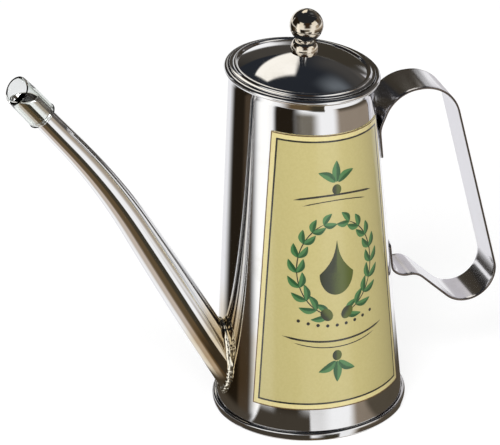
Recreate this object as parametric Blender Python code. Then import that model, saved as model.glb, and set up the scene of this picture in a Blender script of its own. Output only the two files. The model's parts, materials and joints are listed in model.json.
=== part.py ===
"""Oil cruet: a conical steel can with a long tapered spout, a strap handle and a drop-on lid.

Metres, +Z up. The origin is the centre of the face that the can stands on, the spout leans
out towards -X, the handle stands on +X and the label faces -Y.
"""
import bmesh
import bpy
from math import acos, asin, ceil, cos, pi, radians, sin, sqrt, tan
from mathutils import Matrix, Vector

# Fits that several pieces share
SEAT_GAP = 0.0003            # left between pieces that touch
CUT_OVERRUN = 0.004          # how far a cutter runs past what it cuts
MERGE_DISTANCE = 0.000001    # vertices closer than this are one

# Body wall: a spun cone of sheet steel, its mouth plane sloping down to the handle
SHEET = 0.0007
WALL_FOOT_RADIUS = 0.0407    # outer radius at the standing face
WALL_MOUTH_RADIUS = 0.0310   # outer radius at the mouth's height
MOUTH_HEIGHT = 0.1579        # standing face to the centre of the mouth bead
MOUTH_SLOPE = radians(6.0)
MOUTH_SHIFT = -0.0008        # the mouth's centre beside the foot's axis, towards the spout
NECK_DROP = 0.0045           # the straight wall ends this far under the mouth
BEAD_RADIUS = 0.00125        # radius of the rolled bead's round section
BEAD_OUTSET = 0.0014         # centre of the bead outside the wall's mouth radius
HEM_BEVEL = 0.0002           # corners of the folded foot
NECK_HOLLOW = 0.0002         # how far the neck curves in on its way out to the bead

# Base pan, crimped round the foot of the wall
PAN_SHEET = 0.0006
SEAM_STAND_OUT = 0.0013      # crimped band outside the wall's foot radius
SEAM_HEIGHT = 0.004
SEAM_ROUNDING = 0.0010       # outer corners of the crimped band
GROOVE_INSET = 0.0107        # middle of the pressed stiffening ring, in from the wall's foot
GROOVE_WIDTH = 0.004
GROOVE_DEPTH = 0.001

# Spout: a tapered tube with one gentle bend, coped to the wall
SPOUT_ROOT_HEIGHT = 0.026    # where its centre line meets the wall
SPOUT_BEND_HEIGHT = 0.1220   # corner that the bend rounds off
SPOUT_TIP_RISE = 0.0112      # cut tip above the mouth's centre
SPOUT_ROOT_LEAN = radians(27.8)
SPOUT_TIP_LEAN = radians(37.3)
SPOUT_BEND_RADIUS = 0.314
SPOUT_ROOT_RADIUS = 0.00795
SPOUT_TIP_RADIUS = 0.0049
SPOUT_TAPER_SHARE = 0.85     # of its length, from the tip; below that it runs straight
SPOUT_SHEET = 0.0007

# Weld bead round the root of the spout
WELD_RADIUS = 0.0017
WELD_STAND_OFF = 0.0007      # middle of the bead outside the tube's skin
WELD_CROTCH = 0.0014         # extra filler in the narrow corner above the spout
WELD_RIPPLE = 0.00022
WELD_RIPPLES = 13

# Clear sleeve pushed over the tip of the spout
SLEEVE_WALL = 0.0011
SLEEVE_END_BORE = 0.0046     # the bore closes in to this past the steel
SLEEVE_OVERLAP = 0.0131      # along the spout, below the centre of its cut
SLEEVE_REACH = 0.0050        # along the spout, above the centre of its cut
SLEEVE_LIP = 0.00025         # the stretched lower end stands out by this
SLEEVE_CUT_PITCH = radians(12.0)
SLEEVE_CUT_YAW = radians(17.0)

# Handle: one strip of flat steel, its two tabs pressed to the wall's curve
STRAP_WIDTH = 0.020
STRAP_THICKNESS = 0.0010
CREST_DROP = 0.0134          # top of the handle under the mouth's centre
UPPER_TAB_LENGTH = 0.0282    # crest to the lower end of the upper tab
BROW_REACH = 0.0644          # corner of crest and grip, from the can's axis
GRIP_LEAN = radians(11.95)
HEEL_HEIGHT = 0.0555         # level stretch that returns to the wall
HEEL_REACH = 0.0476          # where the level stretch bends down, from the axis
RETURN_LEAN = radians(45.0)  # of the rising stretch from the toe bend to the heel
LOWER_TAB_LENGTH = 0.0177    # level stretch to the upper end of the lower tab
SHOULDER_BEND = 0.0163
BROW_BEND = 0.0180
TOE_BEND = 0.0132
HEEL_BEND = 0.0080
FOOT_BEND = 0.0062
SADDLE_FADE = 0.0090         # length over which a tab's curve fades to a flat strap

# Label: a printed sticker on the front of the wall
LABEL_THICKNESS = 0.0002
LABEL_BOTTOM = 0.0145        # lower edge above the standing face
LABEL_TOP_DROP = 0.0154      # upper edge under the mouth's centre
LABEL_BOTTOM_WIDTH = 0.0760
LABEL_TOP_WIDTH = 0.0570
LABEL_DRIFT = 0.00275        # sideways lean of its centre line, each way
LABEL_FACING = radians(-88.4)

# Lid: a pressed dome inside a raised ridge and a flat brim, with a skirt for the mouth
LID_RIM_STEP = 0.00105       # brim's edge inside the mouth bead's centre
LID_BRIM_BEVEL = 0.0002      # upper corner of the brim's edge
LID_RIDGE_INSET = 0.0026     # middle of the ridge inside the brim's edge
LID_RIDGE_RADIUS = 0.00105   # radius of the ridge's half-round section
LID_CREASE = 0.0003          # the dome meets the ridge this far above the brim
DOME_RISE = 0.0067
SKIRT_CLEARANCE = 0.0005
SKIRT_DEPTH = 0.0060         # below the mouth's centre
SKIRT_SHEET = 0.0006
SKIRT_LEDGE = 0.0022         # turned-in upper edge that is welded to the lid
SKIRT_LEAD_IN = 0.0008

# Knob: a ball on a rounded collar, held by a screw from inside the lid
BALL_RADIUS = 0.00725
BALL_HEIGHT = 0.0216         # centre above the mouth's centre
STEM_RADIUS = 0.0033
COLLAR_FOOT_RADIUS = 0.0057
COLLAR_RADIUS = 0.0059
COLLAR_HEIGHT = 0.0053
COLLAR_WIDEST_SHARE = 0.3    # height of its widest place, as a share
COLLAR_RECESS = 0.0016       # depth that the ball's stem drops into the collar
COLLAR_LIP = 0.0006          # rim round the recess
COLLAR_STEPS = 4
SCREW_RADIUS = 0.0019
SCREW_HEAD_RADIUS = 0.0036
SCREW_HEAD_HEIGHT = 0.0020
SCREW_GRIP = 0.0060          # thread inside the ball's stem and ball
SCREW_SLOT_WIDTH = 0.0008
SCREW_SLOT_DEPTH = 0.0009
WASHER_RADIUS = 0.0048
WASHER_THICKNESS = 0.0008

# Face counts
BODY_STEPS = 60
LID_STEPS = 48
KNOB_STEPS = 28
SCREW_STEPS = 16
SPOUT_SIDES = 20
SPOUT_LOWER_STATIONS = 6
SPOUT_UPPER_STATIONS = 4
SPOUT_ARC_STEP = radians(2.4)
WELD_STATIONS = 36
WELD_SIDES = 8
STRAP_BREAKS = 4
STRAP_ARC_STEP = radians(14.0)
SOLVER_ROUNDS = 40
LABEL_COLUMNS = 18
LABEL_ROWS = 6

# Sizes that follow from the ones above
NECK_HEIGHT = MOUTH_HEIGHT - NECK_DROP
SEAM_RADIUS = WALL_FOOT_RADIUS + SEAM_STAND_OUT
GROOVE_RADIUS = WALL_FOOT_RADIUS - GROOVE_INSET
HEM_BOTTOM = PAN_SHEET + SEAT_GAP
HEM_TOP = SEAM_HEIGHT - PAN_SHEET - SEAT_GAP
HEM_RADIUS = SEAM_RADIUS - PAN_SHEET - SEAT_GAP
BEAD_CENTRE = WALL_MOUTH_RADIUS + BEAD_OUTSET
LID_RIM_RADIUS = BEAD_CENTRE - LID_RIM_STEP
LID_SEAT = sqrt((BEAD_RADIUS + SEAT_GAP) ** 2 - LID_RIM_STEP ** 2)
BRIM_TOP = LID_SEAT + SHEET
LID_RIDGE = LID_RIM_RADIUS - LID_RIDGE_INSET
DOME_FOOT_RADIUS = LID_RIDGE - sqrt(LID_RIDGE_RADIUS ** 2 - LID_CREASE ** 2)
DOME_FOOT = BRIM_TOP + LID_CREASE
DOME_SPHERE = (DOME_FOOT_RADIUS ** 2 + DOME_RISE ** 2) / (2 * DOME_RISE)
SPOUT_TIP_HEIGHT = MOUTH_HEIGHT + SPOUT_TIP_RISE
SCREW_HOLE = SCREW_RADIUS + SEAT_GAP


def clear_scene():
    """Remove every object so that the script starts from an empty scene."""
    for obj in list(bpy.data.objects):
        bpy.data.objects.remove(obj, do_unlink=True)


def make_material(name, colour, roughness, metallic, alpha=1.0):
    """A Principled material with one colour, roughness and metallic value."""
    material = bpy.data.materials.new(name)
    material.use_nodes = True
    shader = material.node_tree.nodes["Principled BSDF"]
    shader.inputs["Base Color"].default_value = (*colour, 1.0)
    shader.inputs["Roughness"].default_value = roughness
    shader.inputs["Metallic"].default_value = metallic
    shader.inputs["Alpha"].default_value = alpha
    return material


def add_object(name, mesh, material=None, parent=None):
    """Link a mesh as a named object, smooth but for its sharp edges."""
    mesh.shade_smooth()
    mesh.set_sharp_from_angle(angle=radians(35))
    obj = bpy.data.objects.new(name, mesh)
    bpy.context.collection.objects.link(obj)
    obj.parent = parent
    if material:
        mesh.materials.append(material)
    return obj


def finish_bmesh(bm, name):
    """Merge doubles, point the faces outwards and return the result as a mesh."""
    bmesh.ops.remove_doubles(bm, verts=bm.verts, dist=MERGE_DISTANCE)
    bmesh.ops.recalc_face_normals(bm, faces=bm.faces)
    mesh = bpy.data.meshes.new(name)
    bm.to_mesh(mesh)
    bm.free()
    return mesh


def spin_profile(profile, steps, closed=True):
    """Spin (radius, height) points once round Z; a closed profile gives a ring."""
    bm = bmesh.new()
    verts = [bm.verts.new((radius, 0, height)) for radius, height in profile]
    pairs = list(zip(verts, verts[1:]))
    if closed:
        pairs.append((verts[-1], verts[0]))
    edges = [bm.edges.new(pair) for pair in pairs]
    bmesh.ops.spin(bm, geom=verts + edges, cent=(0, 0, 0), axis=(0, 0, 1),
                   angle=2 * pi, steps=steps)
    return bm


def loft_rings(rings, closed_path=False):
    """Skin a list of equal closed rings; open ends are capped."""
    bm = bmesh.new()
    rows = [[bm.verts.new(point) for point in ring] for ring in rings]
    pairs = list(zip(rows, rows[1:]))
    if closed_path:
        pairs.append((rows[-1], rows[0]))
    else:
        bm.faces.new(rows[0])
        bm.faces.new(list(reversed(rows[-1])))
    for row, following in pairs:
        for i in range(len(row)):
            j = (i + 1) % len(row)
            bm.faces.new((row[i], row[j], following[j], following[i]))
    return bm


def arc(centre, radius, start, end, count):
    """Points of a circular arc in a (radius, height) profile, angles in degrees."""
    angles = [radians(start + (end - start) * i / (count - 1)) for i in range(count)]
    return [(centre[0] + radius * cos(a), centre[1] + radius * sin(a)) for a in angles]


def rounded_path(corners, bends, arc_step):
    """Straight runs between (x, z) corners with a tangent arc at every inner corner."""
    points = [Vector(corners[0])]
    for before, corner, after, bend in zip(corners, corners[1:], corners[2:], bends):
        corner = Vector(corner)
        back = (Vector(before) - corner).normalized()
        ahead = (Vector(after) - corner).normalized()
        half = acos(max(-1.0, min(1.0, back.dot(ahead)))) / 2
        centre = corner + (back + ahead).normalized() * bend / sin(half)
        start = corner + back * bend / tan(half) - centre
        turn = pi - 2 * half
        side = 1 if back.x * ahead.y - back.y * ahead.x < 0 else -1
        count = max(2, ceil(turn / arc_step))
        for i in range(count + 1):
            points.append(centre + Matrix.Rotation(side * turn * i / count, 2) @ start)
    points.append(Vector(corners[-1]))
    return points


def cutter(name, mesh, parent=None):
    """A hidden helper solid for Boolean cuts."""
    obj = add_object(name, mesh, parent=parent)
    obj.hide_render = True
    obj.display_type = "WIRE"
    return obj


def cut(target, tool):
    """Take one solid away from another."""
    modifier = target.modifiers.new("Cut " + tool.name, "BOOLEAN")
    modifier.operation = "DIFFERENCE"
    modifier.solver = "EXACT"
    modifier.object = tool


def cutting_block(name, point, normal, size, parent=None):
    """A cube whose one face lies on a plane and whose body is on the normal's side."""
    bm = bmesh.new()
    bmesh.ops.create_cube(bm, size=size)
    turn = Vector((0, 0, 1)).rotation_difference(normal).to_matrix().to_4x4()
    centre = Vector(point) + Vector(normal).normalized() * size / 2
    bmesh.ops.transform(bm, matrix=Matrix.Translation(centre) @ turn, verts=bm.verts)
    return cutter(name, finish_bmesh(bm, name), parent)


def wall_radius(height):
    """Outer radius of the straight cone at a height."""
    share = height / MOUTH_HEIGHT
    return WALL_FOOT_RADIUS + (WALL_MOUTH_RADIUS - WALL_FOOT_RADIUS) * share


def lean_mouth(bm):
    """Tilt every vertex from the neck up about the mouth's centre, and shift it aside."""
    top = [v for v in bm.verts if v.co.z > NECK_HEIGHT - MERGE_DISTANCE]
    bmesh.ops.rotate(bm, cent=(0, 0, MOUTH_HEIGHT), verts=top,
                     matrix=Matrix.Rotation(MOUTH_SLOPE, 3, "Y"))
    bmesh.ops.translate(bm, vec=(MOUTH_SHIFT, 0, 0), verts=top)


def wall_point(angle, height, offset):
    """A point on the wall, offset outwards: on the line from the level foot to the leaning neck."""
    share = (height - HEM_TOP) / (NECK_HEIGHT - HEM_TOP)
    low_radius = wall_radius(HEM_TOP) + offset
    high_radius = wall_radius(NECK_HEIGHT) + offset
    low = Vector((low_radius * cos(angle), low_radius * sin(angle), HEM_TOP))
    high = Vector((high_radius * cos(angle), high_radius * sin(angle), -NECK_DROP))
    high = Matrix.Rotation(MOUTH_SLOPE, 3, "Y") @ high + Vector((MOUTH_SHIFT, 0, MOUTH_HEIGHT))
    return low.lerp(high, share)


def build_body_wall(material, spout_hole):
    """Sheet cone with a folded foot, a rolled mouth bead and the hole into the spout."""
    bead = arc((BEAD_CENTRE, MOUTH_HEIGHT), BEAD_RADIUS, -130, 150, 9)
    neck = wall_radius(NECK_HEIGHT)
    profile = [
        (wall_radius(HEM_BOTTOM) - SHEET, HEM_BOTTOM),
        (HEM_RADIUS - HEM_BEVEL, HEM_BOTTOM),
        (HEM_RADIUS, HEM_BOTTOM + HEM_BEVEL),
        (HEM_RADIUS, HEM_TOP - HEM_BEVEL),
        (HEM_RADIUS - HEM_BEVEL, HEM_TOP),
        (wall_radius(HEM_TOP), HEM_TOP),
        (neck, NECK_HEIGHT),
        ((neck + bead[0][0]) / 2 - NECK_HOLLOW, (NECK_HEIGHT + bead[0][1]) / 2),
        *bead,
        ((neck - SHEET + bead[-1][0]) / 2 - NECK_HOLLOW, MOUTH_HEIGHT - BEAD_RADIUS),
        (neck - SHEET, NECK_HEIGHT),
    ]
    bm = spin_profile(profile, BODY_STEPS)
    lean_mouth(bm)
    wall = add_object("body_wall", finish_bmesh(bm, "body_wall"), material)
    cut(wall, spout_hole)
    return wall


def build_base_pan(material):
    """Pressed bottom whose rim is folded up and over the foot of the wall."""
    inner = SEAM_RADIUS - PAN_SHEET
    lip = wall_radius(SEAM_HEIGHT - PAN_SHEET) + SEAT_GAP
    rounding = SEAM_ROUNDING - PAN_SHEET
    in_slope = GROOVE_DEPTH
    profile = [(0, 0)]
    for radius, height in (
            (GROOVE_RADIUS - GROOVE_WIDTH / 2 - in_slope, 0),
            (GROOVE_RADIUS - GROOVE_WIDTH / 2, GROOVE_DEPTH),
            (GROOVE_RADIUS + GROOVE_WIDTH / 2, GROOVE_DEPTH),
            (GROOVE_RADIUS + GROOVE_WIDTH / 2 + in_slope, 0)):
        profile.append((radius, height))
    profile += arc((SEAM_RADIUS - SEAM_ROUNDING, SEAM_ROUNDING), SEAM_ROUNDING, -90, 0, 4)
    profile += arc((SEAM_RADIUS - SEAM_ROUNDING, SEAM_HEIGHT - SEAM_ROUNDING),
                   SEAM_ROUNDING, 0, 90, 4)
    profile += [(lip, SEAM_HEIGHT), (lip, SEAM_HEIGHT - PAN_SHEET),
                (inner - rounding, SEAM_HEIGHT - PAN_SHEET), (inner, SEAM_HEIGHT - SEAM_ROUNDING),
                (inner, SEAM_ROUNDING), (inner - rounding, PAN_SHEET)]
    for radius, height in reversed(profile[1:5]):
        profile.append((radius, height + PAN_SHEET))
    profile.append((0, PAN_SHEET))
    bm = spin_profile(profile, BODY_STEPS, closed=False)
    return add_object("base_pan", finish_bmesh(bm, "base_pan"), material)


def spout_direction(lean):
    """Unit vector that rises and leans out towards -X."""
    return Vector((-sin(lean), 0, cos(lean)))


def spout_stations():
    """Corners of the spout's centre line: the root on the wall, the bend and the cut tip."""
    root = Vector((-wall_radius(SPOUT_ROOT_HEIGHT), 0, SPOUT_ROOT_HEIGHT))
    rise = (SPOUT_BEND_HEIGHT - SPOUT_ROOT_HEIGHT) / cos(SPOUT_ROOT_LEAN)
    bend = root + spout_direction(SPOUT_ROOT_LEAN) * rise
    reach = (SPOUT_TIP_HEIGHT - SPOUT_BEND_HEIGHT) / cos(SPOUT_TIP_LEAN)
    tip = bend + spout_direction(SPOUT_TIP_LEAN) * reach
    return root, bend, tip


def spout_radius(run, length):
    """Outer radius at a distance from the tip: it swells smoothly, then runs straight."""
    t = max(0.0, min(1.0, run / (length * SPOUT_TAPER_SHARE)))
    return SPOUT_TIP_RADIUS + (SPOUT_ROOT_RADIUS - SPOUT_TIP_RADIUS) * t * t * (3 - 2 * t)


def spout_line(root_extra, tip_extra):
    """Centre-line points with their directions and outer radii, run on past both ends."""
    root, bend, tip = spout_stations()
    foot = root - spout_direction(SPOUT_ROOT_LEAN) * root_extra
    end = tip + spout_direction(SPOUT_TIP_LEAN) * tip_extra
    flat = [(p.x, p.z) for p in (foot, bend, end)]
    knees = rounded_path(flat, [SPOUT_BEND_RADIUS], SPOUT_ARC_STEP)
    lower = [knees[0].lerp(knees[1], i / SPOUT_LOWER_STATIONS) for i in range(SPOUT_LOWER_STATIONS)]
    upper = [knees[-1].lerp(knees[-2], i / SPOUT_UPPER_STATIONS) for i in range(SPOUT_UPPER_STATIONS)]
    points = lower + knees[1:-1] + list(reversed(upper))
    length = (bend - root).length + (tip - bend).length
    runs = [0.0]
    for a, b in zip(points, points[1:]):
        runs.append(runs[-1] + (b - a).length)
    stations = []
    for i, point in enumerate(points):
        before = points[max(0, i - 1)]
        after = points[min(len(points) - 1, i + 1)]
        direction = (after - before).normalized()
        radius = spout_radius(runs[-1] - runs[i] - tip_extra, length)
        stations.append((Vector((point.x, 0, point.y)), Vector((direction.x, 0, direction.y)), radius))
    return stations


def tube_ring(centre, direction, radius, sides):
    """Circle of points square to a direction that lies in the XZ plane."""
    across = Vector((direction.z, 0, -direction.x))
    ring = []
    for i in range(sides):
        a = 2 * pi * i / sides
        ring.append(centre + across * radius * cos(a) + Vector((0, radius * sin(a), 0)))
    return ring


def spout_cope_run():
    """How far the spout's foot runs into the wall so that the cope cuts it all round."""
    wall_lean = (WALL_FOOT_RADIUS - WALL_MOUTH_RADIUS) / MOUTH_HEIGHT
    reach = SPOUT_ROOT_RADIUS + WELD_STAND_OFF
    return reach / tan(SPOUT_ROOT_LEAN + wall_lean) + CUT_OVERRUN


def build_wall_clearance():
    """The cone inside the wall's outer face, one seat gap larger, as a cutter."""
    low = wall_radius(HEM_TOP) + SEAT_GAP
    profile = [(0, -CUT_OVERRUN), (low, -CUT_OVERRUN), (low, HEM_TOP),
               (wall_radius(NECK_HEIGHT) + SEAT_GAP, NECK_HEIGHT), (0, NECK_HEIGHT)]
    bm = spin_profile(profile, BODY_STEPS, closed=False)
    lean_mouth(bm)
    return cutter("cutter_wall_clearance", finish_bmesh(bm, "cutter_wall_clearance"))


def build_spout_hole():
    """Drill for the hole in the wall: as wide as the spout's bore at its root."""
    root = spout_stations()[0]
    direction = spout_direction(SPOUT_ROOT_LEAN)
    bore = SPOUT_ROOT_RADIUS - SPOUT_SHEET
    run = spout_cope_run() + CUT_OVERRUN
    rings = [tube_ring(root + direction * along, direction, bore, SPOUT_SIDES)
             for along in (-run, run)]
    return cutter("cutter_spout_hole", finish_bmesh(loft_rings(rings), "cutter_spout_hole"))


def build_spout(material, wall_clearance):
    """Tapered bent tube, coped to the wall and cut level at the tip."""
    tip_extra = SPOUT_TIP_RADIUS * tan(SPOUT_TIP_LEAN) + CUT_OVERRUN
    line = spout_line(spout_cope_run(), tip_extra)
    outer = [tube_ring(c, d, r, SPOUT_SIDES) for c, d, r in line]
    bore = [tube_ring(c, d, r - SPOUT_SHEET, SPOUT_SIDES) for c, d, r in line]
    bm = loft_rings(outer + list(reversed(bore)), closed_path=True)
    tube = add_object("spout_tube", finish_bmesh(bm, "spout_tube"), material)
    cut(tube, wall_clearance)
    size = 4 * (SPOUT_TIP_RADIUS + tip_extra)
    cut(tube, cutting_block("cutter_spout_tip", spout_stations()[2], Vector((0, 0, 1)), size))
    return tube


def joint_point(angle, radius):
    """Where a line along the spout's side, at an angle round it, meets the wall's cone."""
    root = spout_stations()[0]
    direction = spout_direction(SPOUT_ROOT_LEAN)
    across = Vector((direction.z, 0, -direction.x))
    start = root + across * radius * cos(angle) + Vector((0, radius * sin(angle), 0))
    low, high = -spout_cope_run() - CUT_OVERRUN, spout_cope_run() + CUT_OVERRUN
    for _ in range(SOLVER_ROUNDS):
        middle = (low + high) / 2
        point = start + direction * middle
        if sqrt(point.x ** 2 + point.y ** 2) < wall_radius(point.z):
            low = middle
        else:
            high = middle
    return start + direction * high


def build_weld(material, wall_clearance):
    """Uneven bead of filler round the spout's root, thickest in the narrow corner."""
    angles = [2 * pi * i / WELD_STATIONS for i in range(WELD_STATIONS)]
    path = [joint_point(a, SPOUT_ROOT_RADIUS + WELD_STAND_OFF) for a in angles]
    rings = []
    for i, angle in enumerate(angles):
        tangent = (path[(i + 1) % len(path)] - path[i - 1]).normalized()
        outwards = Vector((path[i].x, path[i].y, 0)).normalized()
        across = (outwards - tangent * outwards.dot(tangent)).normalized()
        other = tangent.cross(across)
        crotch = max(0.0, cos(angle)) ** 2
        radius = WELD_RADIUS + WELD_CROTCH * crotch + WELD_RIPPLE * sin(WELD_RIPPLES * angle)
        ring = []
        for k in range(WELD_SIDES):
            a = 2 * pi * k / WELD_SIDES
            ring.append(path[i] + (across * cos(a) + other * sin(a)) * radius)
        rings.append(ring)
    weld = add_object("spout_weld", finish_bmesh(loft_rings(rings, True), "spout_weld"), material)
    line = spout_line(spout_cope_run() + CUT_OVERRUN, 0)
    skin = [tube_ring(c, d, r + SEAT_GAP, SPOUT_SIDES) for c, d, r in line]
    clearance = cutter("cutter_spout_clearance",
                       finish_bmesh(loft_rings(skin), "cutter_spout_clearance"))
    cut(weld, wall_clearance)
    cut(weld, clearance)
    return weld


def build_sleeve(material, axis):
    """Soft clear tube over the spout's tip, its free end cut a little askew by hand."""
    root, bend, tip = spout_stations()
    length = (bend - root).length + (tip - bend).length
    low_bore = spout_radius(SLEEVE_OVERLAP, length) + SEAT_GAP
    top_bore = spout_radius(0, length) + SEAT_GAP
    overlong = SLEEVE_REACH + CUT_OVERRUN
    profile = [
        (low_bore, -SLEEVE_OVERLAP),
        (low_bore + SLEEVE_WALL, -SLEEVE_OVERLAP),
        (low_bore + SLEEVE_WALL + SLEEVE_LIP, -SLEEVE_OVERLAP + SLEEVE_LIP),
        (low_bore + SLEEVE_WALL + SLEEVE_LIP, -SLEEVE_OVERLAP + SLEEVE_WALL),
        (low_bore + SLEEVE_WALL, -SLEEVE_OVERLAP + SLEEVE_WALL + 4 * SLEEVE_LIP),
        (top_bore + SLEEVE_WALL, 0),
        (SLEEVE_END_BORE + SLEEVE_WALL, overlong),
        (SLEEVE_END_BORE, overlong),
        (top_bore, SPOUT_TIP_RADIUS * tan(SPOUT_TIP_LEAN) + SEAT_GAP),
        (top_bore, 0),
    ]
    bm = spin_profile(profile, KNOB_STEPS)
    sleeve = add_object("pour_sleeve", finish_bmesh(bm, "pour_sleeve"), material, axis)
    normal = Vector((-sin(SLEEVE_CUT_PITCH), -sin(SLEEVE_CUT_YAW), cos(SLEEVE_CUT_PITCH)))
    size = 4 * (top_bore + SLEEVE_WALL)
    cut(sleeve, cutting_block("cutter_sleeve_end", Vector((0, 0, SLEEVE_REACH)), normal, size, axis))
    return sleeve


def handle_corners():
    """Corners of the strap's middle line in (x, z), from the upper tab round to the lower one."""
    seat = SEAT_GAP + STRAP_THICKNESS / 2

    def on_wall(height):
        return wall_point(0, height, seat)

    crest = MOUTH_HEIGHT - CREST_DROP
    brow = Vector((BROW_REACH, crest))
    heel = Vector((HEEL_REACH, HEEL_HEIGHT))
    down = Vector((sin(GRIP_LEAN), -cos(GRIP_LEAN)))
    fall = Vector((cos(RETURN_LEAN), -sin(RETURN_LEAN)))
    gap = heel - brow
    along = (gap.x * fall.y - gap.y * fall.x) / (down.x * fall.y - down.y * fall.x)
    toe = brow + down * along
    points = [on_wall(crest - UPPER_TAB_LENGTH), on_wall(crest), on_wall(HEEL_HEIGHT),
              on_wall(HEEL_HEIGHT + LOWER_TAB_LENGTH)]
    tab_end, shoulder, foot, tab_top = [Vector((p.x, p.z)) for p in points]
    shoulder.y = crest
    foot.y = HEEL_HEIGHT
    return [tab_end, shoulder, brow, toe, heel, foot, tab_top]


def strap_line():
    """Points of the strap's middle line with even extra stations along the two tabs."""
    corners = handle_corners()
    bends = [SHOULDER_BEND, BROW_BEND, TOE_BEND, HEEL_BEND, FOOT_BEND]
    points = rounded_path(corners, bends, STRAP_ARC_STEP)
    head = [points[0].lerp(points[1], i / 3) for i in range(3)]
    tail = [points[-2].lerp(points[-1], i / 3) for i in range(1, 4)]
    return head + points[1:-1] + tail


def saddle_share(run):
    """1 on a tab and 0 past it, fading smoothly where the strap leaves the wall."""
    t = max(0.0, min(1.0, run / SADDLE_FADE))
    return 1 - t * t * (3 - 2 * t)


def build_handle(material):
    """Flat strip bent to the handle's outline, its tabs hollowed to fit the wall."""
    points = strap_line()
    runs = [0.0]
    for a, b in zip(points, points[1:]):
        runs.append(runs[-1] + (b - a).length)
    straight = UPPER_TAB_LENGTH - SHOULDER_BEND
    lower = LOWER_TAB_LENGTH - FOOT_BEND
    rings = []
    for i, point in enumerate(points):
        before, after = points[max(0, i - 1)], points[min(len(points) - 1, i + 1)]
        along = (after - before).normalized()
        normal = Vector((-along.y, 0, along.x)) * STRAP_THICKNESS / 2
        share = max(saddle_share(runs[i] - straight), saddle_share(runs[-1] - runs[i] - lower))
        curve = wall_radius(point.y) + SEAT_GAP
        ring = []
        for side in (1, -1):
            for k in range(STRAP_BREAKS + 1):
                y = side * STRAP_WIDTH * (k / STRAP_BREAKS - 1 / 2)
                sag = (curve - sqrt(curve ** 2 - y ** 2)) * share
                ring.append(Vector((point.x - sag, y, point.y)) + normal * side)
        rings.append(ring)
    return add_object("handle_strap", finish_bmesh(loft_rings(rings), "handle_strap"), material)


def label_point(share, rise, offset):
    """A point of the sticker: share runs from its left to its right edge, rise from foot to top."""
    top = MOUTH_HEIGHT - LABEL_TOP_DROP
    height = LABEL_BOTTOM + (top - LABEL_BOTTOM) * rise
    width = LABEL_BOTTOM_WIDTH + (LABEL_TOP_WIDTH - LABEL_BOTTOM_WIDTH) * rise
    drift = LABEL_DRIFT * (2 * rise - 1)
    angle = LABEL_FACING + (drift + width * (share - 1 / 2)) / wall_radius(height)
    return wall_point(angle, height, offset)


def build_label(material):
    """Thin curved sticker that widens with the cone, one seat gap off the wall."""
    rises = [i / LABEL_ROWS for i in range(LABEL_ROWS + 1)]
    rings = []
    for i in range(LABEL_COLUMNS + 1):
        share = i / LABEL_COLUMNS
        inner = [label_point(share, rise, SEAT_GAP) for rise in rises]
        outer = [label_point(share, rise, SEAT_GAP + LABEL_THICKNESS) for rise in reversed(rises)]
        rings.append(inner + outer)
    return add_object("label_sticker", finish_bmesh(loft_rings(rings), "label_sticker"), material)


def dome_height(radius):
    """Height of the dome's outer face above the mouth's centre, at a radius."""
    return DOME_FOOT + sqrt(DOME_SPHERE ** 2 - radius ** 2) - (DOME_SPHERE - DOME_RISE)


def build_lid_cap(material, axis):
    """Pressed dome, hollow ridge and flat brim in one sheet, with a hole for the knob screw."""
    dome_shares = (0.2, 0.4, 0.6, 0.8, 1.0)
    radii = [SCREW_HOLE] + [DOME_FOOT_RADIUS * share for share in dome_shares]
    upper = [(r, dome_height(r)) for r in radii]
    crease = 180 - sin_degrees(LID_CREASE / LID_RIDGE_RADIUS)
    ridge = arc((LID_RIDGE, BRIM_TOP), LID_RIDGE_RADIUS, crease, 0, 7)[1:]
    hollow = arc((LID_RIDGE, BRIM_TOP), LID_RIDGE_RADIUS - SHEET, 0, 180, 5)
    rim = [(LID_RIM_RADIUS - LID_BRIM_BEVEL, BRIM_TOP),
           (LID_RIM_RADIUS, BRIM_TOP - LID_BRIM_BEVEL),
           (LID_RIM_RADIUS, LID_SEAT), (LID_RIDGE + SHEET, LID_SEAT)]
    lower = [(r, dome_height(r) - SHEET) for r in reversed(radii)]
    profile = upper + ridge + rim + hollow + lower
    bm = spin_profile(profile, LID_STEPS)
    return add_object("lid_cap", finish_bmesh(bm, "lid_cap"), material, axis)


def sin_degrees(ratio):
    """The angle in degrees whose sine is a ratio."""
    return 180 * asin(ratio) / pi


def build_lid_skirt(material, axis):
    """Ring welded under the lid that keeps it central in the mouth."""
    outer = wall_radius(NECK_HEIGHT) - SHEET - SKIRT_CLEARANCE
    inner = outer - SKIRT_SHEET
    top = LID_SEAT - SEAT_GAP
    profile = [
        (inner - SKIRT_LEAD_IN, -SKIRT_DEPTH),
        (outer - SKIRT_LEAD_IN, -SKIRT_DEPTH),
        (outer, -SKIRT_DEPTH + 2 * SKIRT_LEAD_IN),
        (outer, top - SKIRT_SHEET / 2),
        (outer - SKIRT_SHEET / 2, top),
        (outer - SKIRT_LEDGE, top),
        (outer - SKIRT_LEDGE, top - SKIRT_SHEET),
        (inner, top - SKIRT_SHEET),
        (inner, -SKIRT_DEPTH + 2 * SKIRT_LEAD_IN),
    ]
    bm = spin_profile(profile, LID_STEPS)
    return add_object("lid_skirt", finish_bmesh(bm, "lid_skirt"), material, axis)


def collar_foot():
    """Height of the collar's foot, one seat gap above the dome."""
    return dome_height(SCREW_HOLE) + SEAT_GAP


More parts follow.
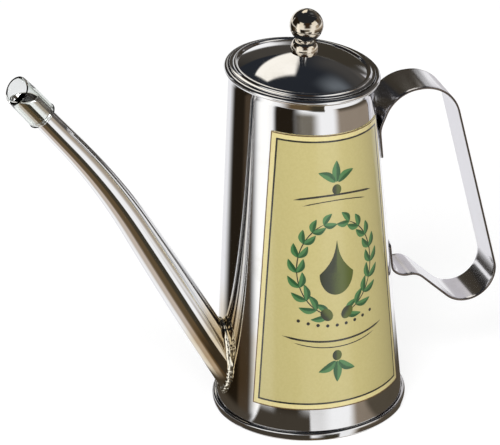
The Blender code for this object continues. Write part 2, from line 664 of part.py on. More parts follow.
def build_knob_collar(material, axis):
    """Turned collar: rounded outside, with a recess on top for the ball's stem."""
    foot = collar_foot()
    lip = foot + COLLAR_HEIGHT
    widest = foot + COLLAR_HEIGHT * COLLAR_WIDEST_SHARE
    cup = STEM_RADIUS + SEAT_GAP
    floor = lip - COLLAR_RECESS
    profile = [(SCREW_HOLE, foot)]
    for i in range(COLLAR_STEPS):
        turn = pi / 2 * i / COLLAR_STEPS
        profile.append((COLLAR_FOOT_RADIUS + (COLLAR_RADIUS - COLLAR_FOOT_RADIUS) * sin(turn),
                        foot + (widest - foot) * i / COLLAR_STEPS))
    for i in range(COLLAR_STEPS + 1):
        turn = pi / 2 * i / COLLAR_STEPS
        profile.append((cup + COLLAR_LIP + (COLLAR_RADIUS - cup - COLLAR_LIP) * cos(turn),
                        widest + (lip - widest) * sin(turn)))
    profile += [(cup, lip), (cup, floor), (SCREW_HOLE, floor)]
    bm = spin_profile(profile, KNOB_STEPS)
    return add_object("knob_collar", finish_bmesh(bm, "knob_collar"), material, axis)


def build_knob_ball(material, axis):
    """Turned ball with a short stem and a blind hole for the screw."""
    stem_foot = collar_foot() + COLLAR_HEIGHT - COLLAR_RECESS + SEAT_GAP
    hole_end = stem_foot + SCREW_GRIP + SEAT_GAP
    start = -90 + sin_degrees(STEM_RADIUS / BALL_RADIUS)
    ball = arc((0, BALL_HEIGHT), BALL_RADIUS, start, 90, 13)
    ball[-1] = (0, BALL_HEIGHT + BALL_RADIUS)
    profile = [(0, hole_end), (SCREW_HOLE, hole_end), (SCREW_HOLE, stem_foot),
               (STEM_RADIUS, stem_foot)] + ball
    bm = spin_profile(profile, KNOB_STEPS, closed=False)
    return add_object("knob_ball", finish_bmesh(bm, "knob_ball"), material, axis)


def washer_top():
    """Upper face of the washer, one seat gap under the dome's inner face."""
    return dome_height(WASHER_RADIUS) - SHEET - SEAT_GAP


def build_washer(material, axis):
    """Flat washer between the screw's head and the lid."""
    top = washer_top()
    bottom = top - WASHER_THICKNESS
    profile = [(SCREW_HOLE, bottom), (WASHER_RADIUS, bottom), (WASHER_RADIUS, top), (SCREW_HOLE, top)]
    bm = spin_profile(profile, KNOB_STEPS)
    return add_object("knob_washer", finish_bmesh(bm, "knob_washer"), material, axis)


def build_screw(material, axis):
    """Pan-head screw up through washer, lid and collar into the ball."""
    head_top = washer_top() - WASHER_THICKNESS - SEAT_GAP
    head_bottom = head_top - SCREW_HEAD_HEIGHT
    end = collar_foot() + COLLAR_HEIGHT - COLLAR_RECESS + SEAT_GAP + SCREW_GRIP
    crown = SCREW_HEAD_HEIGHT / 3
    profile = [(0, head_bottom), (SCREW_HEAD_RADIUS - 2 * crown, head_bottom),
               (SCREW_HEAD_RADIUS, head_bottom + crown), (SCREW_HEAD_RADIUS, head_top),
               (SCREW_RADIUS, head_top), (SCREW_RADIUS, end - crown),
               (SCREW_RADIUS - crown, end), (0, end)]
    bm = spin_profile(profile, SCREW_STEPS, closed=False)
    screw = add_object("knob_screw", finish_bmesh(bm, "knob_screw"), material, axis)
    slot = bmesh.new()
    bmesh.ops.create_cube(slot, size=1)
    size = (2 * SCREW_HEAD_RADIUS + CUT_OVERRUN, SCREW_SLOT_WIDTH, 2 * SCREW_SLOT_DEPTH)
    bmesh.ops.scale(slot, vec=size, verts=slot.verts)
    bmesh.ops.translate(slot, vec=(0, 0, head_bottom), verts=slot.verts)
    cut(screw, cutter("cutter_screw_slot", finish_bmesh(slot, "cutter_screw_slot"), axis))
    return screw


def add_axis(name, location, tilt):
    """An empty whose Z is a joint's axis; the moving pieces hang from it."""
    empty = bpy.data.objects.new(name, None)
    bpy.context.collection.objects.link(empty)
    empty.location = location
    empty.rotation_euler = (0, tilt, 0)
    return empty


def build_cruet():
    """Build every piece of the cruet."""
    bright = (0.72, 0.71, 0.69)
    warm = (0.74, 0.69, 0.6)
    plain = (0.6, 0.6, 0.6)
    steel = make_material("polished_steel", bright, 0.12, 1.0)
    pan_steel = make_material("pan_steel", (0.66, 0.65, 0.63), 0.22, 1.0)
    spout_steel = make_material("spout_steel", (0.73, 0.71, 0.68), 0.14, 1.0)
    solder = make_material("weld_filler", (0.6, 0.55, 0.42), 0.3, 1.0)
    clear = make_material("clear_plastic", (0.86, 0.92, 0.84), 0.12, 0.0, 0.35)
    strap_steel = make_material("strap_steel", (0.74, 0.73, 0.72), 0.2, 1.0)
    film = make_material("label_print", (0.72, 0.66, 0.42), 0.45, 0.0)
    lid_steel = make_material("lid_steel", bright, 0.1, 1.0)
    skirt_steel = make_material("skirt_steel", plain, 0.3, 1.0)
    collar_steel = make_material("collar_steel", warm, 0.08, 1.0)
    knob_steel = make_material("knob_steel", warm, 0.08, 1.0)
    washer_steel = make_material("washer_steel", plain, 0.3, 1.0)
    screw_steel = make_material("screw_steel", plain, 0.3, 1.0)

    mouth_axis = add_axis("mouth_axis", (MOUTH_SHIFT, 0, MOUTH_HEIGHT), MOUTH_SLOPE)
    tip_axis = add_axis("spout_tip_axis", spout_stations()[2], -SPOUT_TIP_LEAN)
    wall_clearance = build_wall_clearance()

    build_body_wall(steel, build_spout_hole())
    build_base_pan(pan_steel)
    build_spout(spout_steel, wall_clearance)
    build_weld(solder, wall_clearance)
    build_sleeve(clear, tip_axis)
    build_handle(strap_steel)
    build_label(film)
    build_lid_cap(lid_steel, mouth_axis)
    build_lid_skirt(skirt_steel, mouth_axis)
    build_knob_collar(collar_steel, mouth_axis)
    build_knob_ball(knob_steel, mouth_axis)
    build_washer(washer_steel, mouth_axis)
    build_screw(screw_steel, mouth_axis)


clear_scene()
build_cruet()
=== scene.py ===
# %% [markdown]
# # A polished steel oil cruet
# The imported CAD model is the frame: it fixes where each piece is and how it moves. This lesson
# dresses it. Polished steel shows every facet of a coarse mesh, so each steel piece is worked out
# again here as a fine surface on the CAD's own sizes, and then gets its finish.

# %% The frame
import json
from math import asin, atan2, cos, degrees, pi, radians, sin, sqrt, tan
import bmesh
import bpy
import numpy as np
from mathutils import Matrix, Vector

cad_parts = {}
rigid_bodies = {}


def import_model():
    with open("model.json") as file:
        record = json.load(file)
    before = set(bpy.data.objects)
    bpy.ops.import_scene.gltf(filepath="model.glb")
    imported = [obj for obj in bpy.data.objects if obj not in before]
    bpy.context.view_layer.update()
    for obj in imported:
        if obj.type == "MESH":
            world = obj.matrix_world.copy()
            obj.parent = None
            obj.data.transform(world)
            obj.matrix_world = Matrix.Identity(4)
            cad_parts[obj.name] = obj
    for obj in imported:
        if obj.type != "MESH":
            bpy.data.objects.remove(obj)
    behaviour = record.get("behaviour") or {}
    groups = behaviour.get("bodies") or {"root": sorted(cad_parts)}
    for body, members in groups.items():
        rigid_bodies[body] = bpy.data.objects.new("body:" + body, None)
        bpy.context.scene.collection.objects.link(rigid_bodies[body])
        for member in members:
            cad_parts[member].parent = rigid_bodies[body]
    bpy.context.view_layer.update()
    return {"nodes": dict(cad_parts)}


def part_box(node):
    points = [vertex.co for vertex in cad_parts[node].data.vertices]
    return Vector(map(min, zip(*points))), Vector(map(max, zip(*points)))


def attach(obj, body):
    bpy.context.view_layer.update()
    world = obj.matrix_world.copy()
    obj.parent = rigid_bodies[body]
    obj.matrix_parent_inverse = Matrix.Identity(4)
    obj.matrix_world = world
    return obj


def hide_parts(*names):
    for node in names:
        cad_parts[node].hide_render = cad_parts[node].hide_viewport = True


for leftover in list(bpy.data.objects):
    bpy.data.objects.remove(leftover)
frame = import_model()
print("frame:", sorted(frame["nodes"]))

# %% [markdown]
# ## Driving sizes
# The CAD's boxes give the overall places, and the few sizes below are the ones that a box can't
# tell: sheet thicknesses, leans and radii of rolled edges. Everything is in metres.

# %% Sizes of the can
MM = 0.001
mouth_height = 157.9 * MM       # standing face to the centre of the mouth bead
mouth_slope = radians(6.0)
mouth_shift = -0.8 * MM         # its centre, beside the foot's axis
foot_radius = 40.7 * MM         # outer radius of the wall at the standing face
mouth_radius = 31.0 * MM
sheet = 0.7 * MM
neck_height = mouth_height - 4.5 * MM
seat_gap = 0.3 * MM
pan_sheet = 0.6 * MM
seam_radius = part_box("base_pan")[1].x
seam_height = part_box("base_pan")[1].z
hem_bottom = pan_sheet + seat_gap
hem_top = seam_height - pan_sheet - seat_gap
hem_radius = seam_radius - pan_sheet - seat_gap
bead_section = 1.25 * MM
bead_centre = mouth_radius + 1.4 * MM
print(f"seam band {2 * seam_radius / MM:.1f} mm across, {seam_height / MM:.1f} mm high")

# %% [markdown]
# ## From a grid of points to a mesh
# Every surface here is a grid of points that numpy works out at once. The grid may close on itself
# in one direction or in both, and rows that shrink to a point are welded into a pole.

# %% Mesh helpers
def wrap_index(count, closed):
    """Index pairs (i, i + 1) along one side of a grid, with the step back to 0 if it closes."""
    here = np.arange(count if closed else count - 1)
    return here, (here + 1) % count


def add_mesh(name, points, quads, uv=None):
    """One object from vertices and quads: doubles welded, outward, smooth but for sharp edges."""
    mesh = bpy.data.meshes.new(name)
    mesh.from_pydata(points.tolist(), [], quads.tolist())
    if uv is not None:
        layer = mesh.uv_layers.new(name="UVMap")
        layer.data.foreach_set("uv", uv[quads.ravel()].astype(np.float32).ravel())
    bm = bmesh.new()
    bm.from_mesh(mesh)
    bmesh.ops.remove_doubles(bm, verts=bm.verts, dist=MM / 2000)
    bmesh.ops.recalc_face_normals(bm, faces=bm.faces)
    bm.to_mesh(mesh)
    bm.free()
    mesh.shade_smooth()
    mesh.set_sharp_from_angle(angle=radians(38))
    obj = bpy.data.objects.new(name, mesh)
    bpy.context.scene.collection.objects.link(obj)
    print(f"{name}: {len(mesh.polygons)} faces")
    return obj


def grid_quads(rows, cols, close_rows, close_cols, start=0):
    """Quads between the neighbours of a rows by cols grid whose first vertex is number start."""
    r0, r1 = wrap_index(rows, close_rows)
    c0, c1 = wrap_index(cols, close_cols)
    corner = [a[:, None] * cols + b[None, :] for a, b in ((r0, c0), (r0, c1), (r1, c1), (r1, c0))]
    return np.stack(corner, axis=-1).reshape(-1, 4) + start


def surface(name, grid, close_rows=False, close_cols=True, uv=None):
    """A mesh from a grid of shape (rows, cols, 3)."""
    rows, cols = grid.shape[:2]
    quads = grid_quads(rows, cols, close_rows, close_cols)
    flat_uv = None if uv is None else uv.reshape(-1, 2)
    return add_mesh(name, grid.reshape(-1, 3), quads, flat_uv)


# %% Profiles and turns
def together(*parts):
    """Coordinates, each a number or an array, brought to one shape and joined into points."""
    return np.stack(np.broadcast_arrays(*parts), axis=-1)


def unit(vectors):
    """Each vector divided by its own length."""
    return vectors / np.linalg.norm(vectors, axis=-1, keepdims=True)


def smooth(share):
    """The smooth step t * t * (3 - 2 t) of a share that is held between 0 and 1."""
    t = np.clip(share, 0, 1)
    return t * t * (3 - 2 * t)


def arc(centre, radius, start, end, count):
    """Points (r, z) on a circle: centre + radius * (cos a, sin a), a from start to end in degrees."""
    a = np.radians(np.linspace(start, end, count))
    return together(centre[0] + radius * np.cos(a), centre[1] + radius * np.sin(a))


def line(start, end, count):
    """Points (r, z) evenly from start to end, without the last one."""
    share = np.linspace(0, 1, count, endpoint=False)[:, None]
    return np.array(start) + (np.array(end) - np.array(start)) * share


def full_turn(count):
    """Angles evenly round a circle, without the last one."""
    return np.linspace(0, 2 * pi, count, endpoint=False)


around = full_turn(256)


def polar(radius, angle, height):
    """Points at a radius, an angle about Z and a height: x = r cos a, y = r sin a."""
    return together(radius * np.cos(angle), radius * np.sin(angle), height)


def spin(profile, angles=around):
    """A profile of points (r, z) carried round Z."""
    return polar(profile[:, :1], angles, profile[:, 1:])


def turned(grid, angle):
    """Points turned about Y: x' = x cos a + z sin a, z' = z cos a - x sin a."""
    c, s = cos(angle), sin(angle)
    x, y, z = grid[..., 0], grid[..., 1], grid[..., 2]
    return together(c * x + s * z, y, c * z - s * x)


def to_mouth(grid):
    """From the mouth's own frame to the can's: turn about Y, then lift to the mouth's centre."""
    return turned(grid, mouth_slope) + np.array([mouth_shift, 0, mouth_height])


# %% [markdown]
# ## The wall
# The can is a cone of sheet steel whose mouth slopes down towards the handle. The wall is therefore
# a ruled surface: each straight line runs from the level foot to the leaning neck. A worn polishing
# wheel leaves the sheet faintly wavy, and the wave is what makes the reflections look like metal.

# %% A point of the wall
def wall_radius(height):
    """Outer radius of the straight cone: foot + (mouth - foot) * height / mouth height."""
    return foot_radius + (mouth_radius - foot_radius) * height / mouth_height


def on_wall(angle, height, offset=0.0):
    """On the line from the level foot ring to the leaning neck ring, offset outwards."""
    angle, height, offset = np.broadcast_arrays(angle, height, offset)
    share = ((height - hem_top) / (neck_height - hem_top))[..., None]
    low = polar(wall_radius(hem_top) + offset, angle, hem_top)
    high = polar(wall_radius(neck_height) + offset, angle, neck_height - mouth_height)
    return low * (1 - share) + to_mouth(high) * share


def sheet_wave(angle, height):
    """A wave of a few hundredths of a millimetre: sines round the can times sines up it."""
    up = height / mouth_height * pi
    return MM * np.sin(up) * (0.016 * np.sin(5 * angle + 2 * up) + 0.010 * np.sin(9 * angle - 3 * up)
                              + 0.006 * np.sin(17 * angle + up))


# %% The wall, its folded foot and its rolled mouth
def wall_grid():
    """Foot profile, ruled outer wall, rolled bead, ruled inner wall, back to the foot."""
    edge = 0.2 * MM
    foot = spin(np.vstack([
        line((wall_radius(hem_bottom) - sheet, hem_bottom), (hem_radius - edge, hem_bottom), 2),
        arc((hem_radius - edge, hem_bottom + edge), edge, -90, 0, 4),
        arc((hem_radius - edge, hem_top - edge), edge, 0, 90, 4)]))
    heights = np.linspace(hem_top, neck_height, 60)[:, None]
    outer = on_wall(around, heights, sheet_wave(around, heights))
    neck = wall_radius(neck_height)
    roll = arc((bead_centre, 0.0), bead_section, -122, 150, 30)
    drop = neck_height - mouth_height
    flare = np.array([(neck + 0.05 * MM, drop * 0.8), (neck + 0.25 * MM, drop * 0.58)])
    inside = np.array([(neck - sheet + 0.3 * MM, -bead_section * 0.75),
                       (neck - sheet + 0.05 * MM, drop * 0.7)])
    bead = to_mouth(spin(np.vstack([flare, roll, inside])))
    inner = on_wall(around, heights[::-1][::4], -sheet)
    return np.concatenate([foot, outer, bead, inner])


wall = surface("can_wall", wall_grid(), close_rows=True)

# %% [markdown]
# ## The base band
# The pan's rim is folded up and pressed over the foot of the wall. Its rounded corners catch a thin
# bright line all the way round.

# %% The pan
def pan_profile():
    """Flat bottom with a pressed ring, the rounded outside of the crimp, its lip and its inside."""
    ring, half, deep = foot_radius - 10.7 * MM, 2 * MM, 1 * MM
    corner, lip_edge, fold = 1.0 * MM, 0.1 * MM, 0.4 * MM
    shell, bend = seam_radius - corner, seam_radius - pan_sheet - fold
    lip = wall_radius(seam_height - pan_sheet) + seat_gap
    flat = [(0, 0), (ring - half - deep, 0), (ring - half, deep), (ring + half, deep),
            (ring + half + deep, 0)]
    top = [(r, z + pan_sheet) for r, z in reversed(flat)]
    return np.vstack([flat, arc((shell, corner), corner, -90, 0, 9),
                      arc((shell, seam_height - corner), corner, 0, 90, 9),
                      arc((lip + lip_edge, seam_height - lip_edge), lip_edge, 90, 180, 4),
                      [(lip, seam_height - pan_sheet)],
                      arc((bend, seam_height - corner), fold, 90, 0, 4),
                      arc((bend, corner), fold, 0, -90, 4), top])


pan = surface("base_band", spin(pan_profile()))

# %% [markdown]
# ## The spout
# A tapered tube on a line of three parts: straight, a long bend, straight. Its foot is coped to the
# cone and its tip is cut level, so every line along the tube has its own start and end. A bisection
# on whole arrays finds them.

# %% The spout's centre line
root_lean, tip_lean = radians(27.8), radians(37.3)
bend_radius = 314 * MM
root_height, corner_height = 26 * MM, 122 * MM
tip_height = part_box("spout_tube")[1].z
spout_root_radius, spout_tip_radius, taper_share = 7.95 * MM, 4.9 * MM, 0.85
spout_sheet = 0.7 * MM


def leaning(lean):
    """Unit vector in the XZ plane that rises and leans out towards -X."""
    return np.array([-sin(lean), 0.0, cos(lean)])


root = np.array([-wall_radius(root_height), 0.0, root_height])
corner = root + leaning(root_lean) * (corner_height - root_height) / cos(root_lean)
tip = corner + leaning(tip_lean) * (tip_height - corner_height) / cos(tip_lean)
leg = bend_radius * tan((tip_lean - root_lean) / 2)
straight = np.linalg.norm(corner - root) - leg
bend_length = bend_radius * (tip_lean - root_lean)
spout_length = straight + bend_length + np.linalg.norm(tip - corner) - leg
print(f"spout {spout_length / MM:.0f} mm along its middle, tip at {tip / MM}")


def centre_line(run):
    """Place and direction at a run from the root: straight, then an arc, then straight."""
    turn = np.clip((run - straight) / bend_radius, 0, tip_lean - root_lean)
    lean = root_lean + turn
    start = root + leaning(root_lean) * straight
    hub = start - bend_radius * np.array([cos(root_lean), 0, sin(root_lean)])
    on_arc = hub + bend_radius * together(np.cos(lean), 0, np.sin(lean))
    way = together(-np.sin(lean), 0, np.cos(lean))
    before = np.minimum(run - straight, 0)
    after = np.maximum(run - straight - bend_length, 0)
    return on_arc + way * (before + after)[..., None], way


def tube_radius(run):
    """Outer radius: tip + (root - tip) * a smooth step that runs back from the tip."""
    share = smooth((spout_length - run) / (spout_length * taper_share))
    return spout_tip_radius + (spout_root_radius - spout_tip_radius) * share


def beside_line(angle, run, radius):
    """Point beside the middle line: centre + radius * (across cos a + Y sin a)."""
    place, way = centre_line(run)
    across = together(way[..., 2], 0, -way[..., 0])
    sideways = np.array([0.0, 1.0, 0.0])
    return place + radius[..., None] * (across * np.cos(angle)[..., None]
                                        + sideways * np.sin(angle)[..., None])


def on_tube(angle, run, inset=0.0):
    """Point of the tube's skin, or of a face that lies inset from it."""
    return beside_line(angle, run, tube_radius(run) - inset)


# %% Where the tube starts and ends
def find_run(angle, inset, reached, low, high):
    """Bisection: the run at which each line along the tube first satisfies a condition."""
    low = np.full_like(angle, low)
    high = np.full_like(angle, high)
    for _ in range(40):
        middle = (low + high) / 2
        ok = reached(on_tube(angle, middle, inset))
        low, high = np.where(ok, low, middle), np.where(ok, middle, high)
    return high


def clear_of_wall(point):
    """Outside the cone and its seat gap."""
    return np.hypot(point[..., 0], point[..., 1]) > wall_radius(point[..., 2]) + seat_gap


def leaves_wall(angle, inset=0.0):
    """The run at which each line along the tube leaves the wall."""
    return find_run(angle, inset, clear_of_wall, -40 * MM, 60 * MM)


# %% The spout's tube
def spout_grid():
    """Skin from the cope to the tip, over the rim, and back down the bore."""
    angle = full_turn(96)
    lip = 0.15 * MM
    share = np.linspace(0, 1, 150)[:, None]

    def span(inset, drop, shares=np.ones((1, 1))):
        """Rows at shares of the way from the cope to a level just below the tip."""
        start = leaves_wall(angle, inset)
        end = find_run(angle, inset, lambda p: p[..., 2] > tip_height - drop, 100 * MM, 250 * MM)
        runs = start + (end - start) * shares
        return on_tube(angle, runs, inset)

    rim = [span(inset, drop) for inset, drop in (
        (lip * 0.3, lip * 0.3), (lip, 0.0), (spout_sheet - lip, 0.0), (spout_sheet - lip * 0.3, lip * 0.3))]
    return np.concatenate([span(0.0, lip, share), *rim, span(spout_sheet, lip, share[::-3])])


spout = surface("spout_skin", spout_grid(), close_rows=True)
for piece, node in ((wall, "body_wall"), (pan, "base_pan"), (spout, "spout_tube")):
    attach(piece, "cruet_body")
    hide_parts(node)

# %% [markdown]
# The hole where the bore meets the wall shows when the lid is off. A tube the size of the bore,
# hidden itself, cuts it with a Boolean.

# %% The hole in the wall
def drill_grid():
    """A plain tube along the spout's lower leg, from inside the can to just past its wall."""
    angle = full_turn(48)
    run = np.array([-22, -21.9, 21.9, 22])[:, None] * MM
    bore, point = spout_root_radius - spout_sheet, 1e-7
    return beside_line(angle, run, np.array([point, bore, bore, point])[:, None])


drill = surface("hole_drill", drill_grid())
drill.hide_render = True
drill.hide_viewport = True
cut = wall.modifiers.new("spout hole", "BOOLEAN")
cut.operation, cut.solver, cut.object = "DIFFERENCE", "EXACT", drill

# %% [markdown]
# ## The weld
# Filler is run round the spout's root by hand: a row of small overlapping pools, heaped up in the
# narrow corner above the spout. Each section runs from the tube to the wall over a bulging face.

# %% The weld bead
def weld_grid():
    """Sections from the tube (run a) to the wall (run b) with a bulge that ripples along."""
    angle = full_turn(288)
    wall_taper = 0.063
    start = leaves_wall(angle)
    joint = on_tube(angle, start)
    ahead = unit(np.roll(joint, -1, axis=0) - np.roll(joint, 1, axis=0))
    wall_out = unit(together(joint[:, 0], joint[:, 1], wall_taper * np.hypot(joint[:, 0], joint[:, 1])))
    along_wall = np.cross(wall_out, ahead)
    outward = joint - joint.mean(axis=0)
    along_wall *= np.sign((along_wall * outward).sum(axis=1, keepdims=True))
    along_tube = on_tube(angle, start + 1 * MM) - joint
    along_tube = unit(along_tube - ahead * (along_tube * ahead).sum(axis=1, keepdims=True))
    crotch = np.clip(np.cos(angle), 0, 1) ** 1.5
    pools = np.abs(np.sin(13 * angle + 1.3 * np.sin(3 * angle) + 0.9 * np.sin(7 * angle))) ** 0.7
    uneven = 0.5 * np.sin(5 * angle + 1.0) + 0.4 * np.sin(11 * angle + 2.0)
    reach_tube = MM * (1.5 + 2.6 * crotch + 0.25 * uneven + 0.2 * pools)
    reach_wall = MM * (1.3 + 1.3 * crotch - 0.2 * uneven + 0.2 * pools)
    bulge = MM * (0.35 + 0.6 * crotch + 0.20 * pools + 0.12 * uneven)
    on_pipe = joint + along_tube * reach_tube[:, None]
    on_can = joint + along_wall * reach_wall[:, None]
    out = unit(along_tube + along_wall)
    share = np.linspace(0, 1, 11)[:, None, None]
    face = on_pipe * (1 - share) + on_can * share + out * bulge[:, None] * np.sin(share * pi)
    back = joint - out * 0.25 * MM
    return np.concatenate([face, back[None]])


weld = surface("weld_bead", weld_grid(), close_rows=True)
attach(weld, "cruet_body")
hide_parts("spout_weld")

# %% [markdown]
# ## The pour sleeve
# A short length of soft clear tube, stretched over the tip and cut with scissors, so its free end
# isn't square. Its lower edge has rolled over slightly.

# %% The sleeve
def sleeve_grid():
    """Rows up the skin to the askew cut, over its edge, and down the bore again."""
    gap, skin, lip, edge = 0.3 * MM, 1.1 * MM, 0.25 * MM, 0.12 * MM
    over, reach, end_bore, taper = 13.1 * MM, 5.0 * MM, 4.6 * MM, 9.0 * MM
    lip_top, first = 1.9 * MM - over, 2.5 * MM - over
    low_bore, top_bore = float(tube_radius(spout_length - over)) + gap, spout_tip_radius + gap
    steel_end = spout_tip_radius * tan(tip_lean) + gap
    angle = full_turn(96)
    cut_x, cut_y = tan(radians(12)), sin(radians(17)) / cos(radians(12))

    def radius_at(rise, inside):
        """Stretched over the steel; past its end it closes in, the bore later than the skin."""
        closed = np.maximum(rise - steel_end, 0) / (taper - steel_end) if inside else rise / taper
        bore = np.where(rise < 0, low_bore + (top_bore - low_bore) * (rise + over) / over,
                        top_bore - (top_bore - end_bore) * closed)
        return bore if inside else bore + skin

    def end_ring(inside, back):
        """Radius and height on the cut, which depend on each other, in a few rounds."""
        rise = reach + 0 * angle
        for _ in range(6):
            radius = radius_at(rise, inside) + (back if inside else -back)
            rise = reach + radius * (cut_x * np.cos(angle) + cut_y * np.sin(angle))
        return radius, rise

    def side(inside, shares):
        """Rows at shares of the way from the lip to the cut."""
        end = end_ring(inside, 0.0)[1] - edge
        rises = [first + (end - first) * share for share in shares]
        return [polar(radius_at(rise, inside), angle, rise) for rise in rises]

    rows = [polar(low_bore, angle, lip - over), polar(low_bore + lip, angle, -over)]
    for a in np.radians(np.linspace(-90, 60, 7)):
        rows.append(polar(low_bore + skin - lip + 2 * lip * cos(a), angle, 2 * lip * (1 + sin(a)) - over))
    rows.append(polar(low_bore + skin, angle, lip_top))
    rows += side(False, np.linspace(0, 1, 20))
    for inside in (False, True):
        radius, rise = end_ring(inside, edge)
        rows.append(polar(radius, angle, rise))
    rows += side(True, np.linspace(1, 0, 20))
    return turned(np.stack(rows), -tip_lean) + tip


sleeve = surface("clear_sleeve", sleeve_grid(), close_rows=True)
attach(sleeve, "pour_sleeve")
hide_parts("pour_sleeve")

# %% [markdown]
# ## The handle
# One flat strip, bent five times. A rounded cross-section is carried along the bent line. At both
# ends the strip is pressed to the wall's curve, so the section sags there by the wall's own circle.

# %% The strip's line
strap_width, strap_thick = 20 * MM, 0.99 * MM
crest = mouth_height - 13.4 * MM
heel_height, grip_lean, return_lean = 55.5 * MM, radians(11.95), radians(45.0)
brow_reach, heel_reach = 64.4 * MM, 47.6 * MM
upper_tab, lower_tab = 28.2 * MM, 17.7 * MM
bends = [16.3 * MM, 18.0 * MM, 13.2 * MM, 8.0 * MM, 6.2 * MM]
saddle_fade = 9 * MM


def strap_corners():
    """Corners (x, z) of the middle line: tab, crest, brow, toe, heel, foot and tab again."""
    seat = seat_gap + strap_thick / 2

    def against(height):
        """The middle of a strip that lies on the wall."""
        point = on_wall(np.array(0.0), np.array(height), np.array(seat))
        return np.array([point[0], point[2]])

    brow, heel = np.array([brow_reach, crest]), np.array([heel_reach, heel_height])
    down = np.array([sin(grip_lean), -cos(grip_lean)])
    fall = np.array([cos(return_lean), -sin(return_lean)])
    gap = heel - brow
    along = (gap[0] * fall[1] - gap[1] * fall[0]) / (down[0] * fall[1] - down[1] * fall[0])
    shoulder, foot = against(crest), against(heel_height)
    shoulder[1], foot[1] = crest, heel_height
    return [against(crest - upper_tab), shoulder, brow, brow + down * along, heel, foot,
            against(heel_height + lower_tab)]


def rounded(corners, radii, step):
    """Evenly spaced points on straight runs joined by tangent arcs."""
    points = [corners[0][None]]
    for before, knee, after, radius in zip(corners, corners[1:], corners[2:], radii):
        back, ahead = unit(before - knee), unit(after - knee)
        half = np.arccos(np.clip(back @ ahead, -1, 1)) / 2
        hub = knee + unit(back + ahead) * radius / sin(half)
        start = knee + back * radius / tan(half) - hub
        turn = (pi - 2 * half) * (1 if back[0] * ahead[1] - back[1] * ahead[0] < 0 else -1)
        a = np.linspace(0, turn, 40)[:, None]
        points.append(hub + start * np.cos(a) + np.array([-start[1], start[0]]) * np.sin(a))
    points.append(corners[-1][None])
    path = np.vstack(points)
    run = np.concatenate([[0], np.cumsum(np.linalg.norm(np.diff(path, axis=0), axis=1))])
    even = np.linspace(0, run[-1], int(run[-1] / step))
    return together(np.interp(even, run, path[:, 0]), np.interp(even, run, path[:, 1])), even


# %% The strip
def strap_grid():
    """Rounded rectangle carried along the line; the tabs are hollowed and their corners rounded."""
    path, run = rounded(strap_corners(), bends, 0.7 * MM)
    way = unit(np.gradient(path, axis=0))
    normal = together(-way[:, 1], way[:, 0])
    half_w, half_t, edge = strap_width / 2, strap_thick / 2, 0.42 * MM
    flat = np.linspace(-1, 1, 15) * (half_w - edge)
    turn = np.linspace(90, -90, 9)[1:-1]
    right = arc((half_w - edge, 0), edge, 90, -90, 9)[1:-1]
    right[:, 1] *= half_t / edge
    section = np.vstack([together(flat, half_t), right, together(flat[::-1], -half_t), -right])
    from_end = np.minimum(run, run[-1] - run)
    round_off, ease = 2.0 * MM, 0.35 * MM
    corner = np.maximum(round_off - from_end, 0)
    width = 1 - (round_off - np.sqrt(round_off ** 2 - corner ** 2)) / half_w
    thick = np.clip(from_end / ease, 0, 1) ** 0.5
    y = section[:, 0] * width[:, None]
    lift = section[:, 1] * thick[:, None]
    from_upper = (run - (upper_tab - bends[0])) / saddle_fade
    from_lower = (run[-1] - run - (lower_tab - bends[4])) / saddle_fade
    share = 1 - np.minimum(smooth(from_upper), smooth(from_lower))[:, None]
    curve = (wall_radius(path[:, 1]) + seat_gap)[:, None]
    sag = (curve - np.sqrt(curve ** 2 - y ** 2)) * share
    x = path[:, :1] - sag + normal[:, :1] * lift
    z = path[:, 1:] + normal[:, 1:] * lift
    return together(x, y, z), together(run[:, None] / run[-1], np.abs(section[:, 0]) / half_w)


strap_points, strap_uv = strap_grid()
strap = surface("handle_strip", strap_points, uv=strap_uv)
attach(strap, "cruet_body")
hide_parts("handle_strap")

# %% [markdown]
# ## The lid
# A pressed dome with a raised ridge round it and a flat brim that sits on the mouth's bead. Under it
# a ring drops into the mouth. On top, a rounded collar carries the ball. All of them are spun in the
# mouth's own frame and then leaned with it.

# %% Sizes of the lid
ridge_section, rim_step, crease = 1.05 * MM, 1.05 * MM, 0.3 * MM
lid_rim = bead_centre - rim_step
lid_seat = sqrt((bead_section + seat_gap) ** 2 - rim_step ** 2)
brim_top, ridge_radius = lid_seat + sheet, lid_rim - 2.6 * MM
dome_foot_radius = ridge_radius - sqrt(ridge_section ** 2 - crease ** 2)
dome_foot, dome_rise = brim_top + crease, 6.7 * MM
dome_sphere = (dome_foot_radius ** 2 + dome_rise ** 2) / (2 * dome_rise)
screw_hole = 1.9 * MM + seat_gap


def dome_height(radius):
    """Height of the dome's outer face above the mouth's centre: a spherical cap."""
    return dome_foot + np.sqrt(dome_sphere ** 2 - radius ** 2) - (dome_sphere - dome_rise)


print(f"dome: sphere of {dome_sphere / MM:.1f} mm, top {dome_height(0) / MM:.1f} mm over the mouth")


# %% The lid's cap and skirt
def cap_profile():
    """Dome, half-round ridge, flat brim with a soft edge, and the same sheet underneath."""
    r = np.linspace(screw_hole, dome_foot_radius, 46)
    upper = together(r, dome_height(r))
    start = 180 - degrees(asin(crease / ridge_section))
    ridge = arc((ridge_radius, brim_top), ridge_section, start - 4, 12, 26)
    foot = [(ridge_radius + ridge_section + 0.04 * MM, brim_top + 0.07 * MM),
            (ridge_radius + ridge_section + 0.15 * MM, brim_top)]
    edge = arc((lid_rim - 0.2 * MM, brim_top - 0.2 * MM), 0.2 * MM, 90, 0, 6)
    under = [(lid_rim, lid_seat + 0.1 * MM), (lid_rim - 0.1 * MM, lid_seat),
             (ridge_radius + sheet, lid_seat)]
    hollow = arc((ridge_radius, brim_top), ridge_section - sheet, 0, 180, 10)
    lower = together(r[::-2], dome_height(r[::-2]) - sheet)
    return np.vstack([upper, ridge, foot, edge, under, hollow, lower])


